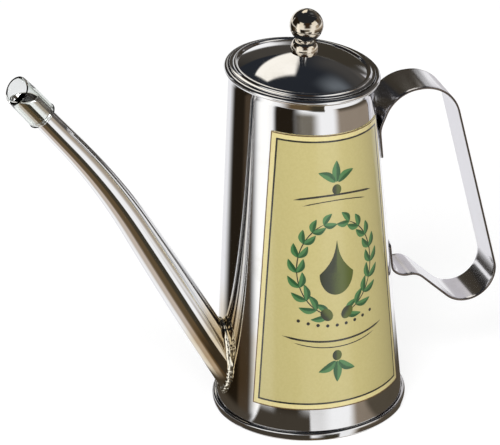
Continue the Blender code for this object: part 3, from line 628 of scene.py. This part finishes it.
def skirt_profile():
    """Ring with a turned-in ledge above and a lead-in taper below."""
    outer = wall_radius(neck_height) - sheet - 0.5 * MM
    inner, top, low = outer - 0.6 * MM, lid_seat - seat_gap, -6.0 * MM
    lead, ledge = 0.8 * MM, 2.2 * MM
    return np.array([(inner - lead, low), (outer - lead, low), (outer, low + 2 * lead),
                     (outer, top - 0.3 * MM), (outer - 0.1 * MM, top - 0.08 * MM),
                     (outer - 0.3 * MM, top), (outer - ledge, top), (outer - ledge, top - 0.6 * MM),
                     (inner, top - 0.6 * MM), (inner, low + 2 * lead)])


cap = surface("lid_dome", to_mouth(spin(cap_profile())), close_rows=True)
skirt = surface("lid_ring", to_mouth(spin(skirt_profile())), close_rows=True)

# %% The knob's collar and ball
ball_radius, ball_centre, stem_radius = 7.21 * MM, 21.6 * MM, 3.3 * MM
collar_height, collar_widest, recess = 5.3 * MM, 5.9 * MM, 1.6 * MM
collar_foot = float(dome_height(screw_hole)) + seat_gap
knob_round = full_turn(128)


def collar_profile():
    """Sine bulge up to the widest place, a rounded shoulder, and the recess for the stem."""
    lip, widest = collar_foot + collar_height, collar_foot + collar_height * 0.3
    cup, foot_r = stem_radius + seat_gap, 5.7 * MM
    a = np.linspace(0, pi / 2, 24)
    side = together(foot_r + (collar_widest - foot_r) * np.sin(a),
                    collar_foot + (widest - collar_foot) * a / (pi / 2))
    rim = cup + 0.6 * MM
    top = together(rim + (collar_widest - rim) * np.cos(a), widest + (lip - widest) * np.sin(a))
    return np.vstack([[(screw_hole, collar_foot)], side, top[1:], [(cup, lip), (cup, lip - recess),
                                                                   (screw_hole, lip - recess)]])


def ball_profile():
    """Blind screw hole, stem with a small fillet, then the sphere up to its pole."""
    stem_foot = collar_foot + collar_height - recess + seat_gap
    hole_end = stem_foot + 6.0 * MM + seat_gap
    start = -90 + degrees(asin(stem_radius / ball_radius))
    neck_z = ball_centre - ball_radius * cos(asin(stem_radius / ball_radius))
    shaft = line((stem_radius, stem_foot), (stem_radius, neck_z - 0.2 * MM), 4)
    ball = arc((0, ball_centre), ball_radius, start + 1.5, 90, 60)
    ball[-1, 0] = 0
    return np.vstack([[(0, hole_end), (screw_hole, hole_end), (screw_hole, stem_foot)], shaft, ball])


collar = surface("knob_collar_turned", to_mouth(spin(collar_profile(), knob_round)), close_rows=True)
ball = surface("knob_ball_turned", to_mouth(spin(ball_profile(), knob_round)))
for piece, node in ((cap, "lid_cap"), (skirt, "lid_skirt"), (collar, "knob_collar"),
                    (ball, "knob_ball")):
    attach(piece, "lid")
    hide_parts(node)
collar.visible_glossy = ball.visible_glossy = False     # or the dome would mirror a long knob

# %% [markdown]
# ## The label
# A sheet of printed vinyl wrapped on the cone. Its edges follow the cone's own lines, so it is wider
# at the foot. A place on it is given in millimetres sideways and upwards, and one function lays
# that place on the wall. The print is raised by a few hundredths of a millimetre as thin inlays.

# %% A place on the label
label_low, label_high = 14.5 * MM, mouth_height - 15.4 * MM
label_tall = (label_high - label_low) / MM
label_wide_low, label_wide_high = 76.0, 57.0
label_drift, label_facing = 2.75, radians(-88.4)


def label_half(v):
    """Half the label's width at v millimetres above its lower edge."""
    return (label_wide_low + (label_wide_high - label_wide_low) * v / label_tall) / 2


def on_label(u, v, offset):
    """Angle = facing + (drift + u) / wall radius, height = lower edge + v, then out from the wall."""
    height = label_low + v * MM
    drift = label_drift * (2 * v / label_tall - 1)
    angle = label_facing + (drift + u) * MM / wall_radius(height)
    return on_wall(angle, height, offset * MM)


# %% The sheet and its printed borders
def label_slab(name, inset, low, high):
    """A closed slab of the label's own outline, inset from its edge, between two offsets."""
    v = np.linspace(inset, label_tall - inset, 40)[:, None]
    u = np.linspace(-1, 1, 60) * (label_half(v) - inset)
    v = v + 0 * u
    front, back = on_label(u, v, high), on_label(u[:, ::-1], v[:, ::-1], low)
    grid = np.concatenate([front, back], axis=1)
    end = (grid[:1] + grid[:1, ::-1]) / 2
    last = (grid[-1:] + grid[-1:, ::-1]) / 2
    uv = together(np.concatenate([u, u[:, ::-1]], axis=1), np.concatenate([v, v], axis=1))
    uv = np.concatenate([uv[:1], uv, uv[-1:]]) / label_tall
    return surface(name, np.concatenate([end, grid, last]), uv=uv)


def label_frame(name, inset, width, low, high):
    """A closed ring that follows the label's outline: four points across, all round."""
    def outline(d):
        """Places (u, v) at d inside the edge: up the right side, across, down the left and back."""
        side = np.linspace(0, 1, 40, endpoint=False)
        up = d + (label_tall - 2 * d) * side
        down = label_tall - up
        low_u, high_u = label_half(d) - d, label_half(label_tall - d) - d
        return np.hstack([(label_half(up) - d, up), (high_u * (1 - 2 * side), label_tall - d + 0 * side),
                          (d - label_half(down), down), (low_u * (2 * side - 1), d + 0 * side)])

    outer, inner = outline(inset), outline(inset + width)
    cols = [on_label(*edge, offset) for edge, offset in (
        (outer, low), (outer, high), (inner, high), (inner, low))]
    return surface(name, np.stack(cols, axis=1), close_rows=True)


sheet_piece = label_slab("label_sheet", 0.0, 0.12, 0.40)
field_piece = label_slab("label_field", 3.0, 0.405, 0.425)
edge_piece = label_frame("label_edge_line", 0.0, 0.5, 0.405, 0.44)
line_piece = label_frame("label_inner_line", 2.5, 0.8, 0.43, 0.45)

# %% [markdown]
# The printed motifs are a wreath round a drop of oil, two sprigs, four rules and a row of beads.
# Each leaf is a grid too: its width is a sine of the way along it, and its midrib bends.

# %% Leaves, beads and rules
ink_top, ink_under, ink_tip = 0.455, 0.43, 0.44     # offsets from the wall in millimetres


def placed(u, v, turn, x, y, offset):
    """Points (x, y) of a motif, turned by an angle in degrees and laid at (u, v) on the label."""
    c, s = cos(radians(turn)), sin(radians(turn))
    return on_label(u + x * c - y * s, v + x * s + y * c, offset)


def leaf_grid(u, v, turn, length, width, bend):
    """Half width = width / 2 * sin(pi * s ** 0.85) ** 0.8, on a midrib that sags by bend * length."""
    s = np.linspace(0, 1, 19)[:, None]
    across = np.concatenate([np.linspace(-1, 1, 9), np.linspace(1, -1, 9)])
    half = width / 2 * np.sin(pi * s ** 0.85) ** 0.8
    offset = np.where(half < 1e-6, ink_tip, [ink_top] * 9 + [ink_under] * 9)
    grid = placed(u, v, turn, s * length, bend * length * np.sin(pi * s) + across * half, offset)
    return grid, together(s, (across + 1) / 2)


def disc_grid(u, v, wide, tall, turn=0.0, point=0.0):
    """Ellipse about its centre; point > 0 draws its upper end out to a drop's tip."""
    a = full_turn(40)
    ring = np.concatenate([np.linspace(0, 1, 12), np.linspace(1, 0, 12)])[:, None]
    offset = np.array([0.46] * 11 + [0.45] + [ink_under] * 12)[:, None]
    x = ring * wide / 2 * np.cos(a) * (1 - point * np.clip(np.sin(a), 0, 1) ** 0.8)
    y = ring * tall / 2 * np.sin(a) * (1 + 0.6 * point * np.clip(np.sin(a), 0, 1) ** 4)
    uv = together(ring * np.cos(a) / 2 + 0.5, ring * np.sin(a) / 2 + 0.5)
    return placed(u, v, turn, x, y, offset), uv


def rule_grid(us, vs, width):
    """A line of even width through points (u, v), tapered at both ends."""
    s = np.linspace(0, 1, len(us))[:, None]
    way = unit(together(np.gradient(us), np.gradient(vs)))
    half = width / 2 * np.clip(np.minimum(s, 1 - s) / 0.08, 0, 1)
    across = np.array([-1, 0, 1, 1, 0, -1])
    offset = np.where(half < 1e-6, ink_tip, [0.45, ink_top, 0.45] + [ink_under] * 3)
    side = across * half
    grid = on_label(us[:, None] - way[:, 1:] * side, vs[:, None] + way[:, :1] * side, offset)
    return grid, together(s, (across + 1) / 2)


def printed(name, grids):
    """All the motifs of one ink as a single object."""
    points, quads, uvs, count = [], [], [], 0
    for grid, uv in grids:
        rows, cols = grid.shape[:2]
        points.append(grid.reshape(-1, 3))
        uvs.append(uv.reshape(-1, 2))
        quads.append(grid_quads(rows, cols, False, True, count))
        count += rows * cols
    return add_mesh(name, np.vstack(points), np.vstack(quads), np.vstack(uvs))


# %% The artwork
oval_wide, oval_tall, oval_middle = 17.5, 22, 66


def on_oval(a):
    """A place on the wreath's oval: (wide cos a, middle + tall sin a)."""
    return oval_wide * np.cos(a), oval_middle + oval_tall * np.sin(a)


def wreath():
    """Pairs of leaves up both sides of an oval, each turned a little off the oval's own direction."""
    made = []
    for side in (-1, 1):
        for step in range(9):
            a = radians(-78 + step * 18.5)
            u, v = on_oval(a)
            way = degrees(atan2(oval_tall * cos(a), -oval_wide * sin(a)))
            for lean in (26, -28):
                turn = way + lean if side > 0 else 180 - way - lean
                bend = 0.10 if (lean > 0) == (side > 0) else -0.10
                made.append(leaf_grid(side * u, v, turn, 8.2 - 0.25 * step, 2.9, bend))
    return made


def sprig(v, flip):
    """Three leaves that spread from one point, upwards for 1 and downwards for -1."""
    return [leaf_grid(0, v, flip * 90, 10, 3.9, 0.02), leaf_grid(0.6, v, flip * 32, 9, 3.6, 0.1 * flip),
            leaf_grid(-0.6, v, 180 - flip * 32, 9, 3.6, -0.1 * flip)]


def stem_line(side):
    """The wreath's stem on one side, along the oval."""
    u, v = on_oval(np.radians(np.linspace(-86, 74, 60)))
    return rule_grid(side * u, v, 0.5)


def bar(v, reach, width, rise):
    """A rule across the label, arched by a parabola."""
    us = np.linspace(-reach, reach, 50)
    return rule_grid(us, v + rise * (1 - (us / reach) ** 2), width)


leaves = printed("label_leaves", wreath() + sprig(106, 1) + sprig(22.5, -1))
bars = [bar(98, 19, 0.9, 2.2), bar(95.4, 15, 0.45, 2.2), bar(34.5, 24, 0.9, -2.6),
        bar(31.6, 19, 0.45, -2.6)]
beads = [disc_grid(u, 39.2 + 0.01 * u ** 2, 1.5, 1.5) for u in 4.2 * np.arange(-4, 5)]
ink = printed("label_ink", bars + beads + [stem_line(-1), stem_line(1)])
olives = printed("label_olives", [
    disc_grid(0, 63.5, 15.5, 20, 0, 0.9), disc_grid(-4.6, 44.6, 5.0, 6.4, 35),
    disc_grid(4.6, 44.6, 5.0, 6.4, -35), disc_grid(0, 102.6, 4.2, 4.8), disc_grid(0, 25.0, 4.2, 4.8)])
art = [sheet_piece, field_piece, edge_piece, line_piece, leaves, ink, olives]
for piece in art:
    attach(piece, "cruet_body")
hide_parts("label_sticker")

# %% [markdown]
# ## Finishes
# A finish is a tree of shader nodes. The helpers make a node, fill in its values and link its
# sockets in one call, so that a tree reads like a formula.

# %% Node helpers
def feed(tree, socket, value):
    """Links a socket to another node's output, or sets its value; a colour gets its alpha of 1."""
    if isinstance(value, bpy.types.NodeSocket):
        tree.links.new(value, socket)
    else:
        socket.default_value = (*value, 1) if socket.type == "RGBA" else value


def fill(tree, made, **values):
    """Values name a node's properties, or its inputs: i0, i1 ... or a name with underscores."""
    for key, value in values.items():
        if key[0] == "i" and key[1:].isdigit():
            feed(tree, made.inputs[int(key[1:])], value)
        elif hasattr(made, key):
            setattr(made, key, value)
        else:
            feed(tree, made.inputs[key.replace("_", " ")], value)
    return made


def add(tree, kind, **values):
    """A new shader node, filled with its values."""
    return fill(tree, tree.nodes.new("ShaderNode" + kind), **values)


def new_group(name, inputs, outputs):
    """A node group with the given sockets, the values that come in, and the node they leave by."""
    group = bpy.data.node_groups.new(name, "ShaderNodeTree")
    for label, kind, value in inputs:
        socket = group.interface.new_socket(label, in_out="INPUT", socket_type="NodeSocket" + kind)
        socket.default_value = value
    for label, kind in outputs:
        group.interface.new_socket(label, in_out="OUTPUT", socket_type="NodeSocket" + kind)
    return group, group.nodes.new("NodeGroupInput").outputs, group.nodes.new("NodeGroupOutput")


# %% The nodes used most
def maths(tree, operation, *values):
    """The result of a Math node on values or sockets."""
    inputs = {f"i{n}": value for n, value in enumerate(values)}
    return add(tree, "Math", operation=operation, **inputs).outputs[0]


def ranged(tree, source, low, high, to_low=0.0, to_high=1.0):
    """A smooth step of a value from one range to another."""
    return add(tree, "MapRange", interpolation_type="SMOOTHSTEP", i0=source, i1=low, i2=high,
               i3=to_low, i4=to_high).outputs[0]


def mixed(tree, factor, first, second):
    """Colour mix of two sockets or colours by a factor socket."""
    return add(tree, "Mix", data_type="RGBA", i0=factor, i6=first, i7=second).outputs[2]


def noise(tree, place, **values):
    """Noise at a place."""
    return add(tree, "TexNoise", Vector=place, **values).outputs["Fac"]


def object_place(tree):
    """The place on the object, in its own coordinates."""
    return add(tree, "TexCoord").outputs["Object"]


def uv_axis(tree, axis):
    """One axis of the piece's own UV map."""
    return add(tree, "SeparateXYZ", i0=add(tree, "TexCoord").outputs["UV"]).outputs[axis]


# %% [markdown]
# One node group gives all the steel its wear: cloudy finger smudges that raise the roughness and
# tint the metal a little, and fine wiping marks. Each steel piece sets its own amounts.

# %% Worn polish
polish, given, result = new_group(
    "worn_polish",
    [("Steel", "Color", (0.85, 0.85, 0.86, 1)), ("Film", "Color", (0.7, 0.69, 0.66, 1)),
     ("Polish", "Float", 0.05), ("Haze", "Float", 0.08), ("Marks", "Vector", (300, 300, 30))],
    [("Color", "Color"), ("Roughness", "Float"), ("Height", "Float")])
place = object_place(polish)
stretched = add(polish, "Mapping", Vector=place, Scale=given["Marks"]).outputs[0]
marks = noise(polish, stretched, Scale=4.0, Detail=4.0, Roughness=0.7)
smudge = ranged(polish, noise(polish, place, Scale=48.0, Detail=5.0, Roughness=0.62), 0.50, 0.74)
fine = maths(polish, "MULTIPLY", ranged(polish, marks, 0.45, 0.72), 0.35)
wear = maths(polish, "MULTIPLY_ADD", smudge, 0.6, fine)
film = mixed(polish, maths(polish, "MULTIPLY", smudge, 0.35), given["Steel"], given["Film"])
rough = maths(polish, "MULTIPLY_ADD", wear, given["Haze"], given["Polish"])
fill(polish, result, Color=film, Roughness=rough, Height=marks)
print(f"{polish.name}: {len(polish.nodes)} nodes")

# %% [markdown]
# The weld was made hot, and heat leaves a straw to brown tint on steel. A second group measures the
# distance from the spout's root and fades the tint with it.

# %% Heat tint
heat, given, result = new_group(
    "heat_tint", [("Metal", "Color", (0.85, 0.85, 0.86, 1)), ("Reach", "Float", 0.03)],
    [("Color", "Color")])
place, hot_spot = object_place(heat), tuple(root + np.array([0, 0, 6 * MM]))
away = add(heat, "VectorMath", operation="DISTANCE", i0=place, i1=hot_spot).outputs["Value"]
near = ranged(heat, maths(heat, "DIVIDE", away, given["Reach"]), 0.35, 1.0, 1.0, 0.0)
patchy = ranged(heat, noise(heat, place, Scale=120.0, Detail=3.0), 0.3, 0.7, 0.7, 1.0)
straw = mixed(heat, maths(heat, "MULTIPLY", near, patchy), given["Metal"], (0.66, 0.55, 0.37))
fill(heat, result, Color=straw)
print(f"{heat.name}: {len(heat.nodes)} nodes")

# %% [markdown]
# The wall, the spout and the dome were polished most, so they get the least roughness. The strap is
# brushed lengthwise and its sheared edges are dark. The turned knob is a warmer metal.

# %% The steels
def principled(name):
    """A new material, its node tree and its Principled shader."""
    made = bpy.data.materials.new(name)
    made.use_nodes = True
    return made, made.node_tree, made.node_tree.nodes["Principled BSDF"]


def steel(name, colour, rough, haze, marks, heat_reach=None, relief=0.000004, cut_edge=None):
    """Plain metal whose colour, roughness and fine relief come from the worn polish."""
    made, tree, shader = principled(name)
    worn = add(tree, "Group", node_tree=polish, Steel=colour, Polish=rough, Haze=haze, Marks=marks).outputs
    shown = worn["Color"]
    if heat_reach:
        shown = add(tree, "Group", node_tree=heat, Metal=shown, Reach=heat_reach).outputs[0]
    if cut_edge:
        shown = mixed(tree, ranged(tree, uv_axis(tree, 1), 0.965, 0.995), shown, cut_edge)
    bump = add(tree, "Bump", Strength=0.35, Distance=relief, Height=worn["Height"]).outputs[0]
    fill(tree, shader, Metallic=1.0, Base_Color=shown, Roughness=worn["Roughness"], Normal=bump)
    return made


bright, warm = (0.86, 0.86, 0.87), (0.80, 0.72, 0.60)
steels = {name: steel(name, *values) for name, values in {
    "polished_steel": (bright, 0.045, 0.10, (60, 60, 260), 0.034),
    "pan_steel": ((0.82, 0.82, 0.83), 0.07, 0.10, (60, 60, 420)),
    "spout_steel": (bright, 0.05, 0.09, (220, 220, 60), 0.032),
    "weld_filler": ((0.95, 0.90, 0.76), 0.10, 0.16, (500, 500, 500), 0.010, 0.00002),
    "strap_steel": ((0.80, 0.79, 0.82), 0.15, 0.08, (60, 700, 60), None, 0.000004, (0.16, 0.13, 0.11)),
    "lid_steel": (bright, 0.04, 0.09, (200, 200, 260)),
    "skirt_steel": ((0.80, 0.80, 0.81), 0.13, 0.14, (80, 80, 500)),
    "collar_steel": (warm, 0.07, 0.08, (80, 80, 600)),
    "knob_steel": (warm, 0.06, 0.08, (200, 200, 300)),
    "washer_steel": ((0.74, 0.74, 0.75), 0.22, 0.15, (500, 500, 500)),
    "screw_steel": ((0.76, 0.76, 0.76), 0.18, 0.15, (500, 500, 500)),
}.items()}
print("steels:", ", ".join(steels))

# %% [markdown]
# ## Plastic and print
# The sleeve is clear with a green cast that gathers where its wall is seen edge on. The print is
# matt ink under a thin gloss film: the film is the shader's coat.

# %% The clear sleeve
clear, tree, shader = principled("clear_plastic")
blur = ranged(tree, noise(tree, object_place(tree), Scale=180.0, Detail=4.0), 0.4, 0.7, 0.02, 0.09)
edge_on = ranged(tree, add(tree, "LayerWeight", Blend=0.45).outputs["Facing"], 0.35, 0.95)
fill(tree, shader, Transmission_Weight=1.0, IOR=1.45, Roughness=blur,
     Base_Color=mixed(tree, edge_on, (0.96, 0.98, 0.96), (0.42, 0.52, 0.44)))


# %% The printed inks
def ink_material(name, first, second, axis=None, low=0.4, high=0.6):
    """Ink: a mix of two colours by a noise, or across the motif's own UV, under a gloss film."""
    made, tree, shader = principled(name)
    grain = noise(tree, object_place(tree), Scale=900.0, Detail=4.0, Roughness=0.6)
    mask = grain if axis is None else maths(tree, "MULTIPLY_ADD", grain, 0.25, uv_axis(tree, axis))
    fill(tree, shader, Coat_Weight=1.0, Coat_Roughness=0.07,
         Base_Color=mixed(tree, ranged(tree, mask, low, high), first, second),
         Roughness=ranged(tree, grain, 0.3, 0.7, 0.36, 0.48))
    return made


dark_ink = (0.012, 0.011, 0.009), (0.03, 0.027, 0.02)
inks = {piece: ink_material(*values) for piece, values in {
    "label_sheet": ("label_print", (0.75, 0.64, 0.29), (0.77, 0.67, 0.32)),
    "label_field": ("field_ink", (0.545, 0.472, 0.195), (0.565, 0.492, 0.21)),
    "label_edge_line": ("edge_ink", (0.10, 0.055, 0.02), (0.16, 0.09, 0.03)),
    "label_inner_line": ("line_ink", *dark_ink),
    "label_leaves": ("leaf_ink", (0.018, 0.085, 0.025), (0.07, 0.20, 0.065), 1, 0.5, 0.72),
    "label_ink": ("rule_ink", *dark_ink),
    "label_olives": ("olive_ink", (0.016, 0.022, 0.004), (0.075, 0.10, 0.012), 0, 0.35, 0.8),
}.items()}
print("inks:", ", ".join(made.name for made in inks.values()))

# %% Every piece gets its finish
finish_of = {wall: "polished_steel", pan: "pan_steel", spout: "spout_steel", weld: "weld_filler",
             strap: "strap_steel", cap: "lid_steel", skirt: "skirt_steel", collar: "collar_steel",
             ball: "knob_steel"}
for piece, slot in finish_of.items():
    piece.data.materials.append(steels[slot])
sleeve.data.materials.append(clear)
for piece in art:
    piece.data.materials.append(inks[piece.name])
for name, slot in (("knob_washer", "washer_steel"), ("knob_screw", "screw_steel")):
    small = frame["nodes"][name]
    small.data.materials.clear()
    small.data.materials.append(steels[slot])
    small.data.shade_smooth()
    small.data.set_sharp_from_angle(angle=radians(30))

# %% [markdown]
# ## The studio
# Polished steel has no colour of its own: what it shows is the room. The room is a white tent with
# dark flags at the sides that draw the dark bands on the can, a dark ceiling, and a softbox in it
# that draws the bright patch on the lid. Only mirror rays see them.

# %% Flags and softboxes
def cleared(data):
    """The node tree of a material or world, emptied."""
    data.use_nodes = True
    data.node_tree.nodes.clear()
    return data.node_tree


def card_material(name, colour, soft):
    """Emission in one colour that fades out at each side over a share of the card's width or height."""
    made = bpy.data.materials.new(name)
    tree = cleared(made)
    cover = 1.0
    for axis, (first, last) in ((0, soft[:2]), (1, soft[2:])):
        along = uv_axis(tree, axis)
        cover = maths(tree, "MULTIPLY", cover, ranged(tree, along, 0.0, max(first, 0.001)))
        cover = maths(tree, "MULTIPLY", cover, ranged(tree, along, 1 - max(last, 0.001), 1.0, 1.0, 0.0))
    shade = add(tree, "MixShader", i0=cover, i1=add(tree, "BsdfTransparent").outputs[0],
                i2=add(tree, "Emission", Color=colour).outputs[0])
    add(tree, "OutputMaterial", Surface=shade.outputs[0])
    return made


def glowing(name, grid, colour, soft):
    """A card on a grid of points, which only mirrored and refracted rays see."""
    rows, cols = grid.shape[:2]
    uv = together(np.linspace(0, 1, cols), np.linspace(0, 1, rows)[:, None])
    made = surface(name, grid, close_cols=False, uv=uv)
    made.data.materials.append(card_material(name + "_glow", colour, soft))
    made.visible_camera = made.visible_diffuse = made.visible_shadow = False
    made.visible_volume_scatter = False


# %% Cards on a sphere
card_distance, card_level, layer_step = 6.0, 0.09, 0.1


def card(name, azimuths, elevations, colour, soft, layer=0, rise=0.0):
    """Part of a sphere about the can between two azimuths and two elevations in degrees.

    A higher layer stands nearer, and its lower edge climbs by rise towards the second azimuth.
    """
    far, (low, high) = card_distance - layer_step * layer, elevations
    a, along = np.radians(np.linspace(*azimuths, 40)), np.linspace(0, 1, 40)
    up = np.linspace(0, 1, 24)[:, None]
    e = np.radians(low + (high - low) * up + rise * along * (1 - up))
    glowing(name, polar(far * np.cos(e), a, far * np.sin(e) + card_level), colour, soft)


# %% [markdown]
# The can's wall leans back a little, so seen from above it mirrors what is 15 to 35 degrees below the
# horizon: those flags draw its bands. The spout leans more and mirrors the floor, the strap and the
# knob mirror the flags at the horizon, and the lid mirrors the ceiling.

# %% The tent's layout
black, umber, slate = (0.018, 0.013, 0.008), (0.070, 0.050, 0.032), (0.020, 0.023, 0.029)
taupe, stone, olive = (0.30, 0.245, 0.19), (0.17, 0.15, 0.118), (0.126, 0.085, 0.043)
card("ceiling", (0, 360), (22, 90), slate, (0, 0, 0.04, 0), layer=-1)
card("ceiling_glow", (12, 48), (36, 66), (0.135, 0.150, 0.165), (0.4, 0.6, 0.4, 0.5))
card("ceiling_low_right", (2, 66), (6, 50), (0.060, 0.056, 0.052), (0.2, 0.25, 0.2, 0.5), layer=-0.5)
card("ceiling_back", (60, 130), (2, 27), (0.060, 0.054, 0.046), (0.05, 0.1, 0.2, 0.1))
card("ceiling_back_left", (80, 130), (2, 27), (0.028, 0.026, 0.024), (0.3, 0.1, 0.2, 0.1), layer=0.5)
card("ceiling_back_low", (60, 74), (-20, 6), (0.075, 0.068, 0.060), (0.2, 0.4, 0.3, 0.1))
card("ceiling_back_right", (-20, 50), (-10, 26), (0.085, 0.078, 0.070), (0.1, 0.2, 0.3, 0.1))
card("softbox_top", (63, 97), (17, 60), (1.10, 1.05, 0.95), (0.12, 0.08, 0.10, 0.16), layer=1, rise=29)
card("wall_backdrop", (50, 116), (-50, -8), (0.88, 0.88, 0.90), (0.2, 0.1, 0.1, 0.1), layer=-1)
card("wall_flag_left", (102, 184), (-36, -4), black, (0.28, 0.23, 0.15, 0.1))
card("wall_flag_left_glow", (147, 174), (-34, -6), umber, (0.35, 0.3, 0.2, 0.2), layer=1)
card("wall_softbox_left", (174, 207), (-50, 24), (1.2, 1.19, 1.15), (0.42, 0.44, 0.2, 0.1), layer=1)
card("wall_flag_camera", (202, 252), (-32, -6), black, (0.18, 0.36, 0.1, 0.1), layer=0.5)
card("wall_flag_camera_glow", (230, 281), (-25, -6), stone, (0.3, 0.36, 0.3, 0.1))
card("floor_low", (150, 400), (-90, -52), (0.36, 0.31, 0.25), (0.1, 0.1, 0, 0.2), layer=-2)
card("spout_flag", (206, 288), (-76, -29), olive, (0.30, 0.03, 0.2, 0.1))
card("spout_flag_edge", (254, 287), (-46, -24), (0.046, 0.040, 0.027), (0.5, 0.05, 0.2, 0.1), layer=1)
card("floor_cream", (125, 240), (-80, -45), (0.60, 0.51, 0.43), (0.6, 0.05, 0.1, 0.3), layer=-1)
card("wall_flag_right", (298, 398), (-40, -12), taupe, (0.14, 0.10, 0.2, 0.3))
card("wall_flag_right_low", (306, 402), (-40, -22.5), (0.085, 0.068, 0.048), (0.08, 0.1, 0.3, 0.3), layer=1)
card("spout_flag_right", (303, 348), (-18, 8), (0.42, 0.355, 0.28), (0.5, 0.1, 0.4, 0.1))
card("far_flag_right", (336, 405), (-14, 24), (0.13, 0.11, 0.095), (0.12, 0.2, 0.3, 0.1))
card("horizon_left", (128, 190), (-8, 40), black, (0.12, 0.06, 0.25, 0.05), layer=0.2)
card("window_left", (190, 234), (2, 40), (0.95, 0.92, 0.86), (0.25, 0.30, 0.40, 0.15), layer=1)
card("horizon_camera", (226, 290), (-8, 40), (0.040, 0.025, 0.015), (0.32, 0.36, 0.35, 0.05), layer=0.6)
card("window_right", (286, 336), (8, 36), (0.95, 0.92, 0.86), (0.25, 0.25, 0.40, 0.15), layer=1)
card("horizon_right", (334, 356), (6, 30), umber, (0.1, 0.1, 0.3, 0.05), layer=0.2)

# %% [markdown]
# Close to the can the floor lies in its shade. Three ring-shaped cards on the floor stand in for
# that, and they darken the lowest centimetres of the wall towards the base band.

# %% Shade on the floor
shade_inner, shade_level = 43 * MM, -0.2 * MM


def floor_shade(name, azimuths, colour, outer=112, fade=0.75):
    """A flat part of a ring just under the floor that fades out towards its outer edge, in mm."""
    r = np.linspace(shade_inner, outer * MM, 8)[:, None]
    grid = polar(r, np.radians(np.linspace(*azimuths, 60)), shade_level)
    glowing(name, grid, colour, (0.08, 0.05, 0, fade))


floor_shade("floor_shade_back", (95, 204), (0.070, 0.058, 0.044), outer=60, fade=0.5)
floor_shade("floor_shade_left", (202, 252), (0.056, 0.046, 0.034), outer=84, fade=0.5)
floor_shade("floor_shade_right", (300, 400), (0.085, 0.070, 0.050))

# %% [markdown]
# The ceiling's softbox would flare on the handle as well. Two small black flags behind the
# handle keep it off, and a pale card beside each of them lights the rest of the strap.

# %% The handle's own cards
def handle_card(name, sides, levels, behind, colour, soft):
    """An upright rectangle behind the handle, from its sides (x), its levels (z) and its y in mm."""
    glowing(name, np.array([[(x, behind, z) for x in sides] for z in levels]) * MM, colour, soft)


handle_card("crest_flag", (16, 94), (130, 200), 55, (0.045, 0.038, 0.028), (0.15, 0.30, 0.2, 0.1))
handle_card("crest_fill", (92, 150), (140, 196), 55, (0.66, 0.64, 0.66), (0.25, 0.2, 0.1, 0.1))
handle_card("toe_flag", (20, 90), (70, 160), 110, (0.055, 0.046, 0.034), (0.1, 0.2, 0.2, 0.2))
handle_card("heel_fill", (78, 190), (48, 136), 111, (0.60, 0.58, 0.60), (0.15, 0.2, 0.1, 0.2))

# %% [markdown]
# ## Floor, light and camera
# The floor and the background are white, and the floor keeps a soft shadow. Two large lamps shape
# the label and the shadow. The camera has a long lens, as for a catalogue picture.

# %% Floor and background
reach, white = 4.0, (1, 1, 1)
sides = (-reach, reach)
floor = surface("floor", np.array([[(x, y, 0) for x in sides] for y in sides]), close_cols=False)
pale = bpy.data.materials.new("pale_floor")
tree = cleared(pale)
matt = add(tree, "BsdfDiffuse", Color=(0.9, 0.9, 0.9)).outputs[0]
shining = add(tree, "Emission", Color=white, Strength=1.1).outputs[0]
add(tree, "OutputMaterial", Surface=add(tree, "MixShader", i0=0.72, i1=matt, i2=shining).outputs[0])
floor.data.materials.append(pale)
floor.visible_glossy = floor.visible_diffuse = floor.visible_transmission = False

world = bpy.data.worlds.new("studio")
bpy.context.scene.world = world
tree = cleared(world)
ray = add(tree, "LightPath").outputs
seen = ray["Is Camera Ray"]
for kind in ("Is Glossy Ray", "Is Transmission Ray"):
    seen = maths(tree, "MAXIMUM", seen, ray[kind])
ambient = add(tree, "Background", Color=white, Strength=0.42).outputs[0]
backdrop = add(tree, "Background", Color=white, Strength=1.0).outputs[0]
add(tree, "OutputWorld", Surface=add(tree, "MixShader", i0=seen, i1=ambient, i2=backdrop).outputs[0])


# %% Lamps
aim = Vector((0, 0, 0.08))


def lamp(name, place, size, power):
    """A square area lamp at a place, turned to the can's middle, seen only by matt surfaces."""
    light = bpy.data.lights.new(name, "AREA")
    light.size, light.energy = size, power
    made = bpy.data.objects.new(name, light)
    made.location = place
    made.rotation_mode = "QUATERNION"
    made.rotation_quaternion = (aim - Vector(place)).to_track_quat("-Z", "Y")
    made.visible_glossy = False
    bpy.context.scene.collection.objects.link(made)


lamp("key_lamp", (-0.9, -1.1, 1.5), 0.9, 34)
lamp("fill_lamp", (1.2, -1.2, 0.9), 0.9, 12)

# %% The camera
turn, lift, roll = radians(19.75), radians(27.71), radians(1.08)
camera_distance, shift_right, shift_up = 3.0, -0.0243, 0.0043
to_camera = Vector((-sin(turn) * cos(lift), -cos(turn) * cos(lift), sin(lift)))
level = Vector((cos(turn), -sin(turn), 0))
upward = to_camera.cross(level)
right_way = level * cos(roll) - upward * sin(roll)
up_way = upward * cos(roll) + level * sin(roll)
lens = bpy.data.cameras.new("camera")
lens.lens, lens.sensor_width, lens.clip_end = 500.3, 36, 20
camera = bpy.data.objects.new("camera", lens)
stand = aim + to_camera * camera_distance + right_way * shift_right + up_way * shift_up
facing = Matrix((right_way, up_way, to_camera)).transposed().to_4x4()
camera.matrix_world = Matrix.Translation(stand) @ facing
bpy.context.scene.collection.objects.link(camera)
bpy.context.scene.camera = camera
bpy.context.scene.view_settings.view_transform = "Standard"
print(f"camera {camera_distance} m from the can, lens {lens.lens:.0f} mm")
